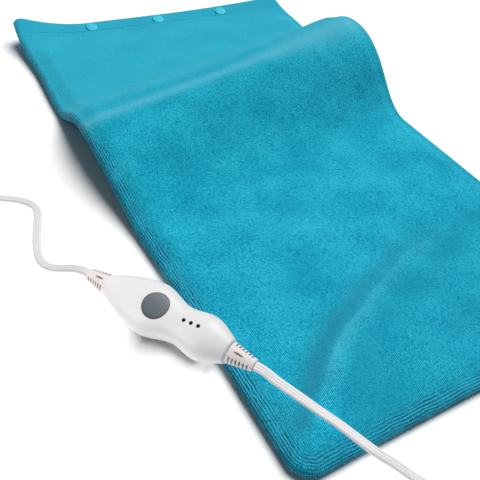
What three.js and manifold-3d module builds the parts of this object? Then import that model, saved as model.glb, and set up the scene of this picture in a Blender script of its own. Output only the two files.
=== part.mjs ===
// A heating pad with its hand controller, lying as it is used: the pad has one high fold across it, the
// controller leans on the pad's left edge, one flat cord joins it to the pad, and the mains lead is wound up
// beside it.
// Millimetres, +Z up. The origin is on the pad's underside, on its centreline.
import * as THREE from 'three';
import { mergeVertices } from 'three/addons/utils/BufferGeometryUtils.js';
import Module from 'manifold-3d';

const wasm = await Module();
wasm.setup();

const { lerp, clamp, smoothstep, degToRad } = THREE.MathUtils;

// Pad: cloth cover round two felt sheets, with the heating wire between them
const PAD_WIDTH = 305;
const PAD_LENGTH = 587;
const ORIGIN_FROM_NEAR_EDGE = 150;
const CORNER_RADIUS = 17.5;
const FAR_CORNER_RADIUS = 9;
const CORNER_PULL = 5.3;
const PULL_REACH = 220;
const EDGE_THICKNESS = 10;
const CROWN_REACH = 20;
const COVER_CLOTH = 1.8;
const FELT_THICKNESS = 2.9;
const FELT_INSET = 22;
const WIRE_DIAMETER = 2;
const LAYER_GAP = 0.4;
const SEAM_GAP = 0.3;
const PAD_THICKNESS = 2 * (COVER_CLOTH + FELT_THICKNESS) + WIRE_DIAMETER + 4 * LAYER_GAP;

// Hem at the far end, with its snaps
const HEM_WIDTH = 28;
const HEM_TAPER = 45;
const SNAP_COUNT = 3;
const SNAP_INSET = 14.8;
const SNAP_CAP_DIAMETER = 12;
const SNAP_CAP_HEIGHT = 1.1;
const SNAP_RING_DIAMETER = 10.4;
const SNAP_RING_HEIGHT = 1.1;
const SNAP_POST_DIAMETER = 3;
const SNAP_SIDES = 10;
const SNAP_CLEARANCE = 0.6;
const SNAP_ROOM = 2 * SNAP_RING_HEIGHT + 2 * SNAP_CLEARANCE;
const HEM_THICKNESS = 2 * COVER_CLOTH + SNAP_ROOM;
const HEM_RAISE = SNAP_CAP_HEIGHT + SNAP_CLEARANCE;

// Fold across the pad, low at the left edge and high at the right; distances are along the cloth from the
// near edge
const FOLD_HEIGHT_LEFT = 24.6;
const FOLD_HEIGHT_RIGHT = 57.9;
const FOLD_BOW = 1.36;
const FOLD_CREST_LEFT = 351.3;
const FOLD_CREST_RIGHT = 390.8;
const FOLD_NEAR_LEFT = 135.6;
const FOLD_NEAR_RIGHT = 113.2;
const FOLD_FAR_LEFT = 80.8;
const FOLD_FAR_RIGHT = 123.6;
const CURL_LENGTH = 90;
const CURL_LEFT = 21.2;
const CURL_LEFT_WIDTH = 75;
const CURL_RIGHT = 6.5;
const CURL_RIGHT_WIDTH = 155;

// Grid of the cloth: cells along it between the rims, with its lines across where the wire runs
const CELLS_NEAR = 2;
const CELLS_FOLD = 14;
const CELLS_TAPER = 3;
const RIM_ANGLES = [90, 45, 0];

// Heating wire, thermostats, terminal block and gland
const WIRE_RUNS = 6;
const WIRE_INSET = CORNER_RADIUS + 10;
const CELLS_ACROSS = WIRE_RUNS - 1;
const WIRE_PITCH = (PAD_WIDTH - 2 * WIRE_INSET) / CELLS_ACROSS;
const WIRE_NEAR_TURN = 48;
const WIRE_RETURN = 32;
const WIRE_FAR_GAP = 3;
const WIRE_CORNER = 4;
const WIRE_LINE_GAP = 4;
const WIRE_SIDES = 4;
const TURN_STEPS = 6;
const THERMOSTAT = { width: 7, length: 16, radius: 1.5, places: [90, 185] };
const GLAND_FROM_RIGHT = 62;
const TERMINAL_WIDTH = 30;
const TERMINAL_NEAR = 6;
const TERMINAL_FAR = 18;
const GLAND_LENGTH = 26;
const GLAND_NECK = { width: 12, height: 6 };
const GLAND_ROOT = { width: 15, height: 8.4 };
const CORD_END = { width: 9.2, height: 6.8 };

// Controller body: X runs along it from the mains end, Z points out of the button's side, and its halves meet
// at zero; places along it are shares of its length
const BODY_LENGTH = 103.5;
const BODY_WALL = 2;
const END_HALF_WIDTH = 8.6;
const BULGE_HALF_WIDTH = 19.8;
const BULGE_AT = 0.378 * BODY_LENGTH;
const WAIST_HALF_WIDTH = 13.7;
const WAIST_AT = 0.631 * BODY_LENGTH;
const TAIL_HALF_WIDTH = 16.3;
const TAIL_AT = 0.793 * BODY_LENGTH;
const END_HEIGHT = 7.6;
const BULGE_HEIGHT = 13;
const WAIST_HEIGHT = 11.6;
const TAIL_HEIGHT = 12.4;
const END_DEPTH = 6.2;
const BASE_DEPTH = 9.6;
const BASE_START = 0.198 * BODY_LENGTH;
const BASE_END = 0.559 * BODY_LENGTH;
const TOP_SQUARENESS = 2.3;
const BASE_SQUARENESS = 2.6;
const BASE_FLATTENING = 1.6;
const BODY_STATIONS = 16;
const SECTION_STEPS = 10;
const PARTING_GAP = 0.3;
const WIDTH_SLOPES = { start: 0.42, end: -0.5 };
const HEIGHT_SLOPES = { start: 0.22, end: -0.35 };
const DEPTH_SLOPES = { start: 0.25, end: -0.1 };

// Controller's place: its mains end lies outside the pad's left edge, its other end on the pad
const BODY_OUT = 42.5;
const BODY_FROM_NEAR_EDGE = 186.4;
const BODY_TURN = -64.6;
const BODY_ROLL = 21.7;
const FLOOR_GAP = 0.2;
const REST_GAP = 0.3;
const STEEPEST_PITCH = 15;

// Button, switch and lights
const FIT = 0.3;
const BUTTON_AT = 0.438 * BODY_LENGTH;
const BUTTON_DIAMETER = 19.2;
const BUTTON_GAP = 0.35;
const BUTTON_PROUD = 0.35;
const BUTTON_FLANGE = 1.6;
const BUTTON_FLANGE_THICKNESS = 1.2;
const BUTTON_CAP_THICKNESS = 3.4;
const BUTTON_STEM_DIAMETER = 4.6;
const BUTTON_SIDES = 24;
const STEM_SIDES = 12;
const BUTTON_TRAVEL = 0.8;
const PLUNGER_TRAVEL = 0.5;
const PLUNGER_GAP = 0.05;
const BOARD = {
  start: 0.216 * BODY_LENGTH, end: 0.829 * BODY_LENGTH, width: 21, thickness: 1.6, top: -1, radius: 3,
};
const SWITCH_SIZE = 6;
const SWITCH_HEIGHT = 3.5;
const SWITCH_PLUNGER_DIAMETER = 3.5;
const SWITCH_PLUNGER_HEIGHT = 1.6;
const SWITCH_WELL = 2;
const LIGHT_COUNT = 3;
const LIGHT_MIDDLE = { along: 0.717 * BODY_LENGTH, across: 1.1 };
const LIGHT_PITCH = 5.7;
const LIGHT_SLANT = 5;
const LIGHT_DIAMETER = 2.8;
const LAMP_SIZE = 1.8;
const LAMP_HEIGHT = 1.2;
const LENS_RISE = 0.45;

// Parts on the circuit board: places along and across the body, then sizes
const FILM_CAPACITOR = { along: 0.297 * BODY_LENGTH, across: 0, size: [5, 13, 6.6], radius: 1 };
const STORAGE_CAPACITOR = { along: 0.572 * BODY_LENGTH, across: -4.5, diameter: 6, height: 7 };
const FUSE = { along: 0.667 * BODY_LENGTH, across: -4.2, diameter: 3, length: 10 };
const TRIAC = { along: 0.761 * BODY_LENGTH, across: -4, size: [5, 4, 5], radius: 0.8 };
const CONTROL_CHIP = { along: 0.55 * BODY_LENGTH, across: 5.5, size: [5, 4, 1.5], radius: 0.3 };
const CONDUCTOR_SIDES = 8;
const CONDUCTOR = { diameter: 1.6, across: 2.2, rise: 1, straight: 2, slack: 8, landing: 1.6, foot: 3.4 };

// Screws, bosses and posts
const SCREW_START = 0.135 * BODY_LENGTH;
const SCREW_END = 0.892 * BODY_LENGTH;
const SCREW_PLACES = [[SCREW_START, 6.2], [SCREW_START, -6.2], [SCREW_END, 6.4], [SCREW_END, -6.4]];
const SCREW_DIAMETER = 2.2;
const SCREW_HEAD_DIAMETER = 4.4;
const SCREW_HEAD_HEIGHT = 1.8;
const SCREW_SEAT = -4.5;
const SCREW_REACH = 5;
const SCREW_SIDES = 8;
const BOSS_DIAMETER = 6;
const POST_START = 0.36 * BODY_LENGTH;
const POST_END = 0.784 * BODY_LENGTH;
const POST_PLACES = [[POST_START, 8.2], [POST_START, -8.2], [POST_END, 8], [POST_END, -8]];
const POST_DIAMETER = 4;

// Strain reliefs of the controller
const RELIEF_LENGTH = 20;
const RELIEF_ROOT = { width: 16.4, height: 12.2 };
const RELIEF_SHOULDER = 1;
const RELIEF_FLANGE_THICKNESS = 1.6;
const RELIEF_FLANGE = {
  width: 2 * (END_HALF_WIDTH - BODY_WALL - 4 * FIT),
  height: 2 * (Math.min(END_DEPTH, END_HEIGHT) - BODY_WALL - FIT),
};
const RELIEF_NECK = {
  width: RELIEF_FLANGE.width - 2 * RELIEF_SHOULDER,
  height: RELIEF_FLANGE.height - 2 * RELIEF_SHOULDER,
};
const RELIEF_CELLS = 5;
const RELIEF_SLOTS = 6;
const RELIEF_SLOT_WIDTH = 1;
const RELIEF_SLOT_DEPTH = 2.2;
const RELIEF_SLOT_SHARE = 0.62;
const RELIEF_SLOT_START = 3.4;
const RELIEF_SLOT_PITCH = 2.6;
const RELIEF_SLIT = { length: 7, width: 1.4, depth: 2.2, at: 8 };
const OVAL_SIDES = 12;

// Flat twin cord and its routes, in the pad's own axes from its near left corner
const CORD_WIDTH = 6.6;
const CORD_THICKNESS = 3.4;
const CORD_GROOVE = 0.75;
const CORD_GAP = 0.3;
const CORD_STEP = 11;
const PAD_LEAD_ROUTE = [
  [15.6, 60.5, 18.2], [19.8, 51.4, 16.7], [24.2, 41.9, 15.7], [29.6, 28, 15.3], [35, 14.3, 15.2],
  [42, -4.2, 13.8], [46.3, -12.2, 11.8], [51.8, -19.5, 9], [58.9, -30.5, 5.2], [68, -45, 3], [82, -66, 2.1],
  [98, -92, 2], [122, -122, 2], [158, -141, 2], [198, -141, 2], [231, -121, 2], [246, -90, 2.2], [245, -60, 3.4],
];
const MAINS_LEAD_ROUTE = [
  [-56.6, 217.2, 8.6], [-64.4, 223.8, 5.2], [-73.1, 230.4, 3], [-75.8, 240.2, 2.2], [-73.7, 252.3, 2],
  [-67.7, 271.8, 2.1], [-59.5, 291.2, 3], [-56.6, 298.5, 3.5], [-60.8, 307.3, 3.6], [-69, 316.2, 3.6],
  [-80.5, 322.6, 3.6], [-100, 335, 4],
];
const MAINS_TWIST_FROM = 0.42;
const MAINS_TWIST_TO = 0.58;

// Wound-up mains lead: loops in two layers, the cord standing on its edge
const COIL_CENTRE = [-155, 319];
const COIL_RADIUS = 42;
const COIL_START = 59;
const COIL_END = 180;
const COIL_WHOLE_TURNS = 8;
const COIL_STEPS = 24;
const COIL_GAP = 0.6;
const TIE_WIDTH = 4;
const TIE_BAND = 0.8;
const TIE_CLEARANCE = 0.35;
const TIE_CORNER = 1.2;
const TIE_ANGLE = -90;
const TIE_TWIST_LENGTH = 14;
const TIE_TWIST_DIAMETER = 2;

// Plug
const PLUG_TAIL = 50;
const PLUG_SECTIONS = [[0, 9.2, 6.8], [16, 11, 8.6], [22, 20, 13], [34, 25, 14], [46, 23.5, 14]];
const PLUG_SQUARENESS = 3.2;
const BLADE_SPACING = 12.7;
const BLADE_LENGTH = 17;
const BLADE_ROOT = 6;
const BLADE_THICKNESS = 1.5;
const BLADE_WIDTHS = [6.35, 7.9];
const BLADE_HOLE = 3.2;
const BLADE_HOLE_FROM_TIP = 5;
const BLADE_CHAMFER = 1.6;

// Colours and finishes
const TURQUOISE = 0x21a8c6;
const SNAP_CYAN = 0x1ccde1;
const FELT_WHITE = 0xe8e6de;
const CASE_WHITE = 0xf0eeed;
const BUTTON_GREY = 0x6c787e;
const LENS_BLACK = 0x141416;
const BOARD_GREEN = 0x2c6b3f;
const PART_BLACK = 0x222222;
const COPPER_RED = 0xb2502f;
const STEEL = 0xb9bcc0;
const BRASS = 0xc9a45c;

// Small helpers for geometry and solids
const WELD = 1e-4;

function welded(geometry) {
  const bare = geometry.clone();
  bare.deleteAttribute('normal');
  bare.deleteAttribute('uv');
  const merged = mergeVertices(bare, WELD);
  const corners = merged.index.array;
  const kept = [];
  for (let i = 0; i < corners.length; i += 3) {
    const [a, b, c] = [corners[i], corners[i + 1], corners[i + 2]];
    if (a !== b && b !== c && c !== a) kept.push(a, b, c);
  }
  merged.setIndex(kept);
  return merged;
}

function solidOf(geometry) {
  const merged = welded(geometry);
  const vertProperties = new Float32Array(merged.attributes.position.array);
  const triVerts = new Uint32Array(merged.index.array);
  return new wasm.Manifold(new wasm.Mesh({ numProp: 3, vertProperties, triVerts }));
}

function geometryOf(solid) {
  const { vertProperties, triVerts } = solid.getMesh();
  const geometry = new THREE.BufferGeometry();
  geometry.setAttribute('position', new THREE.BufferAttribute(vertProperties, 3));
  geometry.setIndex(new THREE.BufferAttribute(triVerts, 1));
  return geometry;
}

function cut(geometry, tools) {
  return geometryOf(tools.reduce((rest, tool) => rest.subtract(solidOf(tool)), solidOf(geometry)));
}

function joined(geometries) {
  const [first, ...others] = geometries.map(solidOf);
  return geometryOf(others.reduce((whole, other) => whole.add(other), first));
}

function shared(a, b) {
  return geometryOf(solidOf(a).intersect(solidOf(b)));
}

function piece(name, geometry, color, roughness, metalness = 0) {
  const mesh = new THREE.Mesh(geometry, new THREE.MeshStandardMaterial({ color, roughness, metalness }));
  mesh.name = name;
  return mesh;
}

// Upright round bar from one height to another
function rod(diameter, from, to, x = 0, y = 0, sides = 10) {
  const bar = new THREE.CylinderGeometry(diameter / 2, diameter / 2, to - from, sides);
  return bar.rotateX(Math.PI / 2).translate(x, y, (from + to) / 2);
}

function block(sizeX, sizeY, sizeZ, x, y, z) {
  return new THREE.BoxGeometry(sizeX, sizeY, sizeZ).translate(x, y, z);
}

// Flat plate with round corners, its underside at height zero
function slab(sizeX, sizeY, thickness, radius) {
  const [x, y] = [sizeX / 2 - radius, sizeY / 2 - radius];
  const outline = new THREE.Shape();
  outline.absarc(x, y, radius, 0, Math.PI / 2);
  outline.absarc(-x, y, radius, Math.PI / 2, Math.PI);
  outline.absarc(-x, -y, radius, Math.PI, 1.5 * Math.PI);
  outline.absarc(x, -y, radius, 1.5 * Math.PI, 2 * Math.PI);
  return new THREE.ExtrudeGeometry(outline, { depth: thickness, bevelEnabled: false, curveSegments: 1 });
}

// Revolved ring or disc about the Z axis
function turned(profile, sides) {
  const points = profile.map(([radius, height]) => new THREE.Vector2(radius, height));
  return new THREE.LatheGeometry(points, sides).rotateX(Math.PI / 2);
}

// Solid through a row of rings that all have the same number of points, with a fan at each end
function loft(rings) {
  const sides = rings[0].length;
  const index = [];
  for (let k = 0; k + 1 < rings.length; k += 1) {
    for (let i = 0; i < sides; i += 1) {
      const [a, b] = [k * sides + i, k * sides + (i + 1) % sides];
      index.push(a, b, b + sides, a, b + sides, a + sides);
    }
  }
  const last = (rings.length - 1) * sides;
  for (let i = 1; i + 1 < sides; i += 1) {
    index.push(0, i + 1, i, last, last + i, last + i + 1);
  }
  const geometry = new THREE.BufferGeometry().setFromPoints(rings.flat());
  geometry.setIndex(index);
  return outward(geometry);
}

// Turns every face round if the solid is inside out
function outward(geometry) {
  const place = geometry.attributes.position;
  const corners = geometry.index.array;
  const [a, b, c] = [new THREE.Vector3(), new THREE.Vector3(), new THREE.Vector3()];
  let volume = 0;
  for (let i = 0; i < corners.length; i += 3) {
    a.fromBufferAttribute(place, corners[i]);
    b.fromBufferAttribute(place, corners[i + 1]);
    c.fromBufferAttribute(place, corners[i + 2]);
    volume += a.dot(b.cross(c));
  }
  if (volume < 0) {
    for (let i = 0; i < corners.length; i += 3) {
      [corners[i + 1], corners[i + 2]] = [corners[i + 2], corners[i + 1]];
    }
  }
  return geometry;
}

// Oval or squarish ring at one place along X
function ringAt(x, width, height, squareness = 2, sides = OVAL_SIDES) {
  const bend = (value) => Math.sign(value) * Math.abs(value) ** (2 / squareness);
  return Array.from({ length: sides }, (_, i) => {
    const angle = (2 * Math.PI * (i + 0.5)) / sides;
    return new THREE.Vector3(x, (width / 2) * bend(Math.cos(angle)), (height / 2) * bend(Math.sin(angle)));
  });
}

// Smooth curve through points given as place, value and slope
function smoothCurve(points) {
  return (x) => {
    const k = clamp(points.findIndex(([place]) => place >= x) - 1, 0, points.length - 2);
    const [[x0, y0, m0], [x1, y1, m1]] = [points[k], points[k + 1]];
    const span = x1 - x0;
    const t = clamp((x - x0) / span, 0, 1);
    const rise = t * t * (3 - 2 * t);
    return y0 + (y1 - y0) * rise + span * (m0 * t * (1 - t) ** 2 - m1 * t * t * (1 - t));
  };
}

// Pad surface: from flat cloth coordinates, u across from the left edge and v along from the near edge,
// to its place in space, with n the height above the underside
function foldHeight(u, v) {
  const across = u / PAD_WIDTH;
  const height = lerp(FOLD_HEIGHT_LEFT, FOLD_HEIGHT_RIGHT, clamp(across, 0, 1) ** FOLD_BOW);
  const crest = lerp(FOLD_CREST_LEFT, FOLD_CREST_RIGHT, across);
  const near = lerp(FOLD_NEAR_LEFT, FOLD_NEAR_RIGHT, across);
  const far = lerp(FOLD_FAR_LEFT, FOLD_FAR_RIGHT, across);
  const along = clamp((v - crest) / (v < crest ? near : far), -1, 1);
  const fold = (height * (1 + Math.cos(Math.PI * along))) / 2;
  const end = clamp((v - PAD_LENGTH + CURL_LENGTH) / CURL_LENGTH, 0, 1) ** 2;
  const left = CURL_LEFT * clamp(1 - u / CURL_LEFT_WIDTH, 0, 1) ** 2;
  const right = CURL_RIGHT * clamp(1 - (PAD_WIDTH - u) / CURL_RIGHT_WIDTH, 0, 1) ** 2;
  return fold + end * (left + right);
}

// The fold takes up more cloth at the right than at the left, so the far part swings round to the right
const SPINE_STEP = 1;
function spine() {
  const advance = (u, v) => {
    const climb = (foldHeight(u, v + SPINE_STEP / 2) - foldHeight(u, v - SPINE_STEP / 2)) / SPINE_STEP;
    return Math.sqrt(1 - Math.min(climb * climb, 0.9));
  };
  const points = [{ x: PAD_WIDTH / 2, y: 0, turn: 0 }];
  for (let v = 0; v < PAD_LENGTH; v += SPINE_STEP) {
    const { x, y, turn } = points.at(-1);
    const middle = v + SPINE_STEP / 2;
    const step = advance(PAD_WIDTH / 2, middle) * SPINE_STEP;
    const swing = ((advance(0, middle) - advance(PAD_WIDTH, middle)) * SPINE_STEP) / PAD_WIDTH;
    points.push({ x: x + step * Math.sin(turn), y: y + step * Math.cos(turn), turn: turn + swing });
  }
  return points;
}
const SPINE = spine();

// The near left corner is pulled outwards, so both edges there bow out a little
function cornerPull(u, v) {
  const share = (along) => clamp(1 - along / PULL_REACH, 0, 1) ** 2;
  return CORNER_PULL * share(u) * share(v);
}

function underside(u, v) {
  const along = clamp(v / SPINE_STEP, 0, SPINE.length - 1.001);
  const k = Math.floor(along);
  const [a, b] = [SPINE[k], SPINE[k + 1]];
  const part = along - k;
  const turn = lerp(a.turn, b.turn, part);
  const side = u - PAD_WIDTH / 2;
  const pull = cornerPull(u, v);
  const x = lerp(a.x, b.x, part) + side * Math.cos(turn) - pull;
  const y = lerp(a.y, b.y, part) - side * Math.sin(turn) - pull;
  return new THREE.Vector3(x, y, foldHeight(u, v));
}

// Frame of the pad's surface: across, along and out of the cloth
function padFrame(u, v) {
  const reach = 0.5;
  const vIn = clamp(v, reach, PAD_LENGTH - reach);
  const across = underside(u + reach, vIn).sub(underside(u - reach, vIn)).normalize();
  const along = underside(u, vIn + reach).sub(underside(u, vIn - reach));
  const out = new THREE.Vector3().crossVectors(across, along).normalize();
  return new THREE.Matrix4().makeBasis(across, new THREE.Vector3().crossVectors(out, across), out)
    .setPosition(underside(u, v));
}

function padPoint(u, v, n) {
  return new THREE.Vector3(0, 0, n).applyMatrix4(padFrame(u, v));
}

// Round the corners of the flat outline
function rounded(u, v) {
  const fromSide = Math.min(u, PAD_WIDTH - u);
  const fromEnd = Math.min(v, PAD_LENGTH - v);
  const corner = v < PAD_LENGTH / 2 ? CORNER_RADIUS : FAR_CORNER_RADIUS;
  const [a, b] = [corner - fromSide, corner - fromEnd];
  if (a <= 0 || b <= 0) return [u, v];
  const radius = Math.max(a, b);
  const angle = a >= b ? (Math.PI / 4) * (b / a) : Math.PI / 2 - (Math.PI / 4) * (a / b);
  const side = corner - radius * Math.cos(angle);
  const end = corner - radius * Math.sin(angle);
  return [u < PAD_WIDTH / 2 ? side : PAD_WIDTH - side, v < PAD_LENGTH / 2 ? end : PAD_LENGTH - end];
}

// Cloth cover: outer and inner heights at a distance from the edge
const hemShare = (v) => smoothstep(v, PAD_LENGTH - HEM_WIDTH - HEM_TAPER, PAD_LENGTH - HEM_WIDTH);
const raiseAt = (v) => HEM_RAISE * hemShare(v);
const halfEdgeAt = (v) => lerp(EDGE_THICKNESS, HEM_THICKNESS, hemShare(v)) / 2;
const fullAt = (v) => lerp(PAD_THICKNESS, HEM_THICKNESS, hemShare(v));

function edgeRound(fromEdge, half, inset) {
  const radius = half - inset;
  if (fromEdge >= half) return radius;
  return Math.sqrt(Math.max(0, radius * radius - (half - fromEdge) ** 2));
}

function topHeight(v, fromEdge, inset) {
  const half = halfEdgeAt(v);
  const crown = (fullAt(v) - 2 * half) * smoothstep(fromEdge, half, CROWN_REACH);
  return raiseAt(v) + half + Math.max(edgeRound(fromEdge, half, inset) + crown, SEAM_GAP / 2);
}

function baseHeight(v, fromEdge, inset) {
  const half = halfEdgeAt(v);
  return raiseAt(v) + half - Math.max(edgeRound(fromEdge, half, inset), SEAM_GAP / 2);
}

// Grid lines across and along the cloth, closest where it bends
function spread(from, to, cells) {
  return Array.from({ length: cells + 1 }, (_, i) => lerp(from, to, i / cells));
}

const EDGE_ROUND = RIM_ANGLES.map((angle) => (EDGE_THICKNESS / 2) * (1 - Math.sin(degToRad(angle))));
const RIM = [...EDGE_ROUND, CROWN_REACH * 0.6, CROWN_REACH];
const rimOf = (length) => [...RIM, ...RIM.map((fromEdge) => length - fromEdge)];
const FOLD_START = Math.min(FOLD_CREST_LEFT - FOLD_NEAR_LEFT, FOLD_CREST_RIGHT - FOLD_NEAR_RIGHT);
const TAPER_START = PAD_LENGTH - HEM_WIDTH - HEM_TAPER;
const ACROSS_LINES = [...rimOf(PAD_WIDTH), ...spread(WIRE_INSET, PAD_WIDTH - WIRE_INSET, CELLS_ACROSS)]
  .sort((a, b) => a - b);
const ALONG_INSIDE = [
  ...spread(WIRE_INSET, FOLD_START, CELLS_NEAR).slice(0, -1),
  ...spread(FOLD_START, TAPER_START, CELLS_FOLD).slice(0, -1),
  ...spread(TAPER_START, PAD_LENGTH - WIRE_INSET, CELLS_TAPER),
];
const ALONG_LINES = [...rimOf(PAD_LENGTH), ...ALONG_INSIDE].sort((a, b) => a - b);

// Point of the flat-faced cloth as it is built, between its grid lines and n above the underside
function facetPoint(u, v, n = 0) {
  const cell = (value, lines) => {
    const k = lines.findIndex((line) => line > value);
    return [lines[k - 1], lines[k], (value - lines[k - 1]) / (lines[k] - lines[k - 1])];
  };
  const [left, right, across] = cell(u, ACROSS_LINES);
  const [near, far, along] = cell(v, ALONG_LINES);
  const [a, c] = [padPoint(left, near, n), padPoint(right, far, n)];
  const corner = across > along ? padPoint(right, near, n) : padPoint(left, far, n);
  const [toCorner, toFar] = [Math.abs(across - along), Math.min(across, along)];
  return a.multiplyScalar(1 - toCorner - toFar).addScaledVector(corner, toCorner).addScaledVector(c, toFar);
}

// The inner face of the cloth starts one cloth thickness inside the edge
function insetLine(line, length) {
  const half = EDGE_THICKNESS / 2;
  const fromEdge = Math.min(line, length - line);
  if (fromEdge >= half) return line;
  const inside = COVER_CLOTH + (fromEdge * (half - COVER_CLOTH)) / half;
  return line < length / 2 ? inside : length - inside;
}

// Closed sheet between an upper and a lower surface over one grid
function closedSheet(columns, rows, upper, lower) {
  const points = [];
  for (const surface of [upper, lower]) {
    for (let j = 0; j < rows; j += 1) {
      for (let i = 0; i < columns; i += 1) points.push(surface(i, j));
    }
  }
  const at = (side, i, j) => (side * rows + j) * columns + i;
  const index = [];
  for (let j = 0; j + 1 < rows; j += 1) {
    for (let i = 0; i + 1 < columns; i += 1) {
      const [a, b, c, d] = [at(0, i, j), at(0, i + 1, j), at(0, i + 1, j + 1), at(0, i, j + 1)];
      const [e, f, g, h] = [at(1, i, j), at(1, i + 1, j), at(1, i + 1, j + 1), at(1, i, j + 1)];
      index.push(a, b, c, a, c, d, e, g, f, e, h, g);
    }
  }
  const border = [];
  for (let i = 0; i + 1 < columns; i += 1) border.push([i, 0]);
  for (let j = 0; j + 1 < rows; j += 1) border.push([columns - 1, j]);
  for (let i = columns - 1; i > 0; i -= 1) border.push([i, rows - 1]);
  for (let j = rows - 1; j > 0; j -= 1) border.push([0, j]);
  border.forEach((from, k) => {
    const to = border[(k + 1) % border.length];
    const [a, b] = [at(0, ...from), at(0, ...to)];
    const [c, d] = [at(1, ...from), at(1, ...to)];
    index.push(c, d, b, c, b, a);
  });
  const geometry = new THREE.BufferGeometry().setFromPoints(points);
  geometry.setIndex(index);
  return geometry;
}

function coverPanel(height) {
  const surface = (inset) => (i, j) => {
    const u = inset ? insetLine(ACROSS_LINES[i], PAD_WIDTH) : ACROSS_LINES[i];
    const v = inset ? insetLine(ALONG_LINES[j], PAD_LENGTH) : ALONG_LINES[j];
    const fromEdge = Math.min(u, PAD_WIDTH - u, v, PAD_LENGTH - v);
    const [across, along] = rounded(u, v);
    return padPoint(across, along, height(along, fromEdge, inset));
  };
  const [outer, inner] = [surface(0), surface(COVER_CLOTH)];
  const [upper, lower] = height === topHeight ? [outer, inner] : [inner, outer];
  return closedSheet(ACROSS_LINES.length, ALONG_LINES.length, upper, lower);
}

function feltSheet(lowerFace) {
  const within = (lines, from, to) => [from, ...lines.filter((line) => line > from + 3 && line < to - 3), to];
  const across = within(ACROSS_LINES, FELT_INSET, PAD_WIDTH - FELT_INSET);
  const along = within(ALONG_LINES, FELT_INSET, TAPER_START);
  const surface = (n) => (i, j) => padPoint(across[i], along[j], n);
  return closedSheet(across.length, along.length, surface(lowerFace + FELT_THICKNESS), surface(lowerFace));
}

// Curve through given points whose section keeps the side that it is told to keep up
class Route extends THREE.Curve {
  constructor(points, rolls) {
    super();
    this.points = points;
    this.rolls = rolls ?? points.map(() => 0);
  }

  getSpacedPoints() {
    return this.points;
  }

  computeFrenetFrames() {
    const up = new THREE.Vector3(0, 0, 1);
    const frames = { tangents: [], normals: [], binormals: [] };
    this.points.forEach((point, i) => {
      const before = this.points[Math.max(i - 1, 0)];
      const after = this.points[Math.min(i + 1, this.points.length - 1)];
      const tangent = after.clone().sub(before).normalize();
      const side = new THREE.Vector3().crossVectors(up, tangent).normalize();
      frames.tangents.push(tangent);
      frames.normals.push(side.applyAxisAngle(tangent, this.rolls[i]));
      frames.binormals.push(new THREE.Vector3().crossVectors(tangent, side));
    });
    return frames;
  }
}

function tube(route, section) {
  const steps = route.points.length - 1;
  return new THREE.ExtrudeGeometry(new THREE.Shape(section), { steps, extrudePath: route });
}

function roundSection(diameter, sides) {
  return Array.from({ length: sides }, (_, i) => {
    const angle = (2 * Math.PI * i) / sides;
    return new THREE.Vector2((diameter / 2) * Math.cos(angle), (diameter / 2) * Math.sin(angle));
  });
}

// Two round cores side by side, with a groove between them
function twinSection() {
  const core = CORD_THICKNESS / 2;
  const reach = CORD_WIDTH / 2 - core;
  const lobe = [-100, -35, 35, 100].map(degToRad);
  const right = lobe
    .map((angle) => new THREE.Vector2(reach + core * Math.cos(angle), core * Math.sin(angle)));
  const left = right.map((point) => new THREE.Vector2(-point.x, -point.y));
  const groove = core - CORD_GROOVE;
  return [...right, new THREE.Vector2(0, groove), ...left, new THREE.Vector2(0, -groove)];
}

function straightSection() {
  const [wide, thick] = [CORD_WIDTH / 2, CORD_THICKNESS / 2];
  const shoulder = wide - thick;
  const upper = [[wide, 0], [shoulder, thick], [-shoulder, thick]];
  const lower = upper.map(([x, y]) => [-x, -y]);
  return [...upper, ...lower].map(([x, y]) => new THREE.Vector2(x, y));
}

// Pad pieces
const GLAND_AT = PAD_WIDTH - GLAND_FROM_RIGHT;
const SEAM_HEIGHT = EDGE_THICKNESS / 2;

// Frame of one snap, square to the cloth on both sides of it
function snapPlace(k) {
  const u = (PAD_WIDTH * (k + 1)) / (SNAP_COUNT + 1);
  const v = PAD_LENGTH - SNAP_INSET;
  const reach = SNAP_RING_DIAMETER / 2;
  const across = facetPoint(u + reach, v).sub(facetPoint(u - reach, v)).normalize();
  const along = facetPoint(u, v + reach).sub(facetPoint(u, v - reach));
  const out = new THREE.Vector3().crossVectors(across, along).normalize();
  return new THREE.Matrix4().makeBasis(across, new THREE.Vector3().crossVectors(out, across), out)
    .setPosition(facetPoint(u, v));
}

function ovalBar(from, to, width, height) {
  return loft([ringAt(from, width, height), ringAt(to, width, height)]);
}

// Stands an X-way piece out of the pad's near edge
function fromNearEdge(geometry) {
  return geometry.rotateZ(-Math.PI / 2).translate(GLAND_AT, 0, SEAM_HEIGHT);
}

function coverWithHoles(height) {
  const postHoles = Array.from({ length: SNAP_COUNT }, (_, k) =>
    rod(SNAP_POST_DIAMETER + 2 * SNAP_CLEARANCE, -HEM_RAISE, HEM_THICKNESS + 2 * HEM_RAISE, 0, 0, 12)
      .applyMatrix4(snapPlace(k)));
  const [wide, high] = [GLAND_NECK.width + 2 * FIT, GLAND_NECK.height + 2 * FIT];
  const neck = ovalBar(-TERMINAL_NEAR, CROWN_REACH / 4, wide, high);
  return cut(coverPanel(height), [...postHoles, fromNearEdge(neck)]);
}

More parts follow.
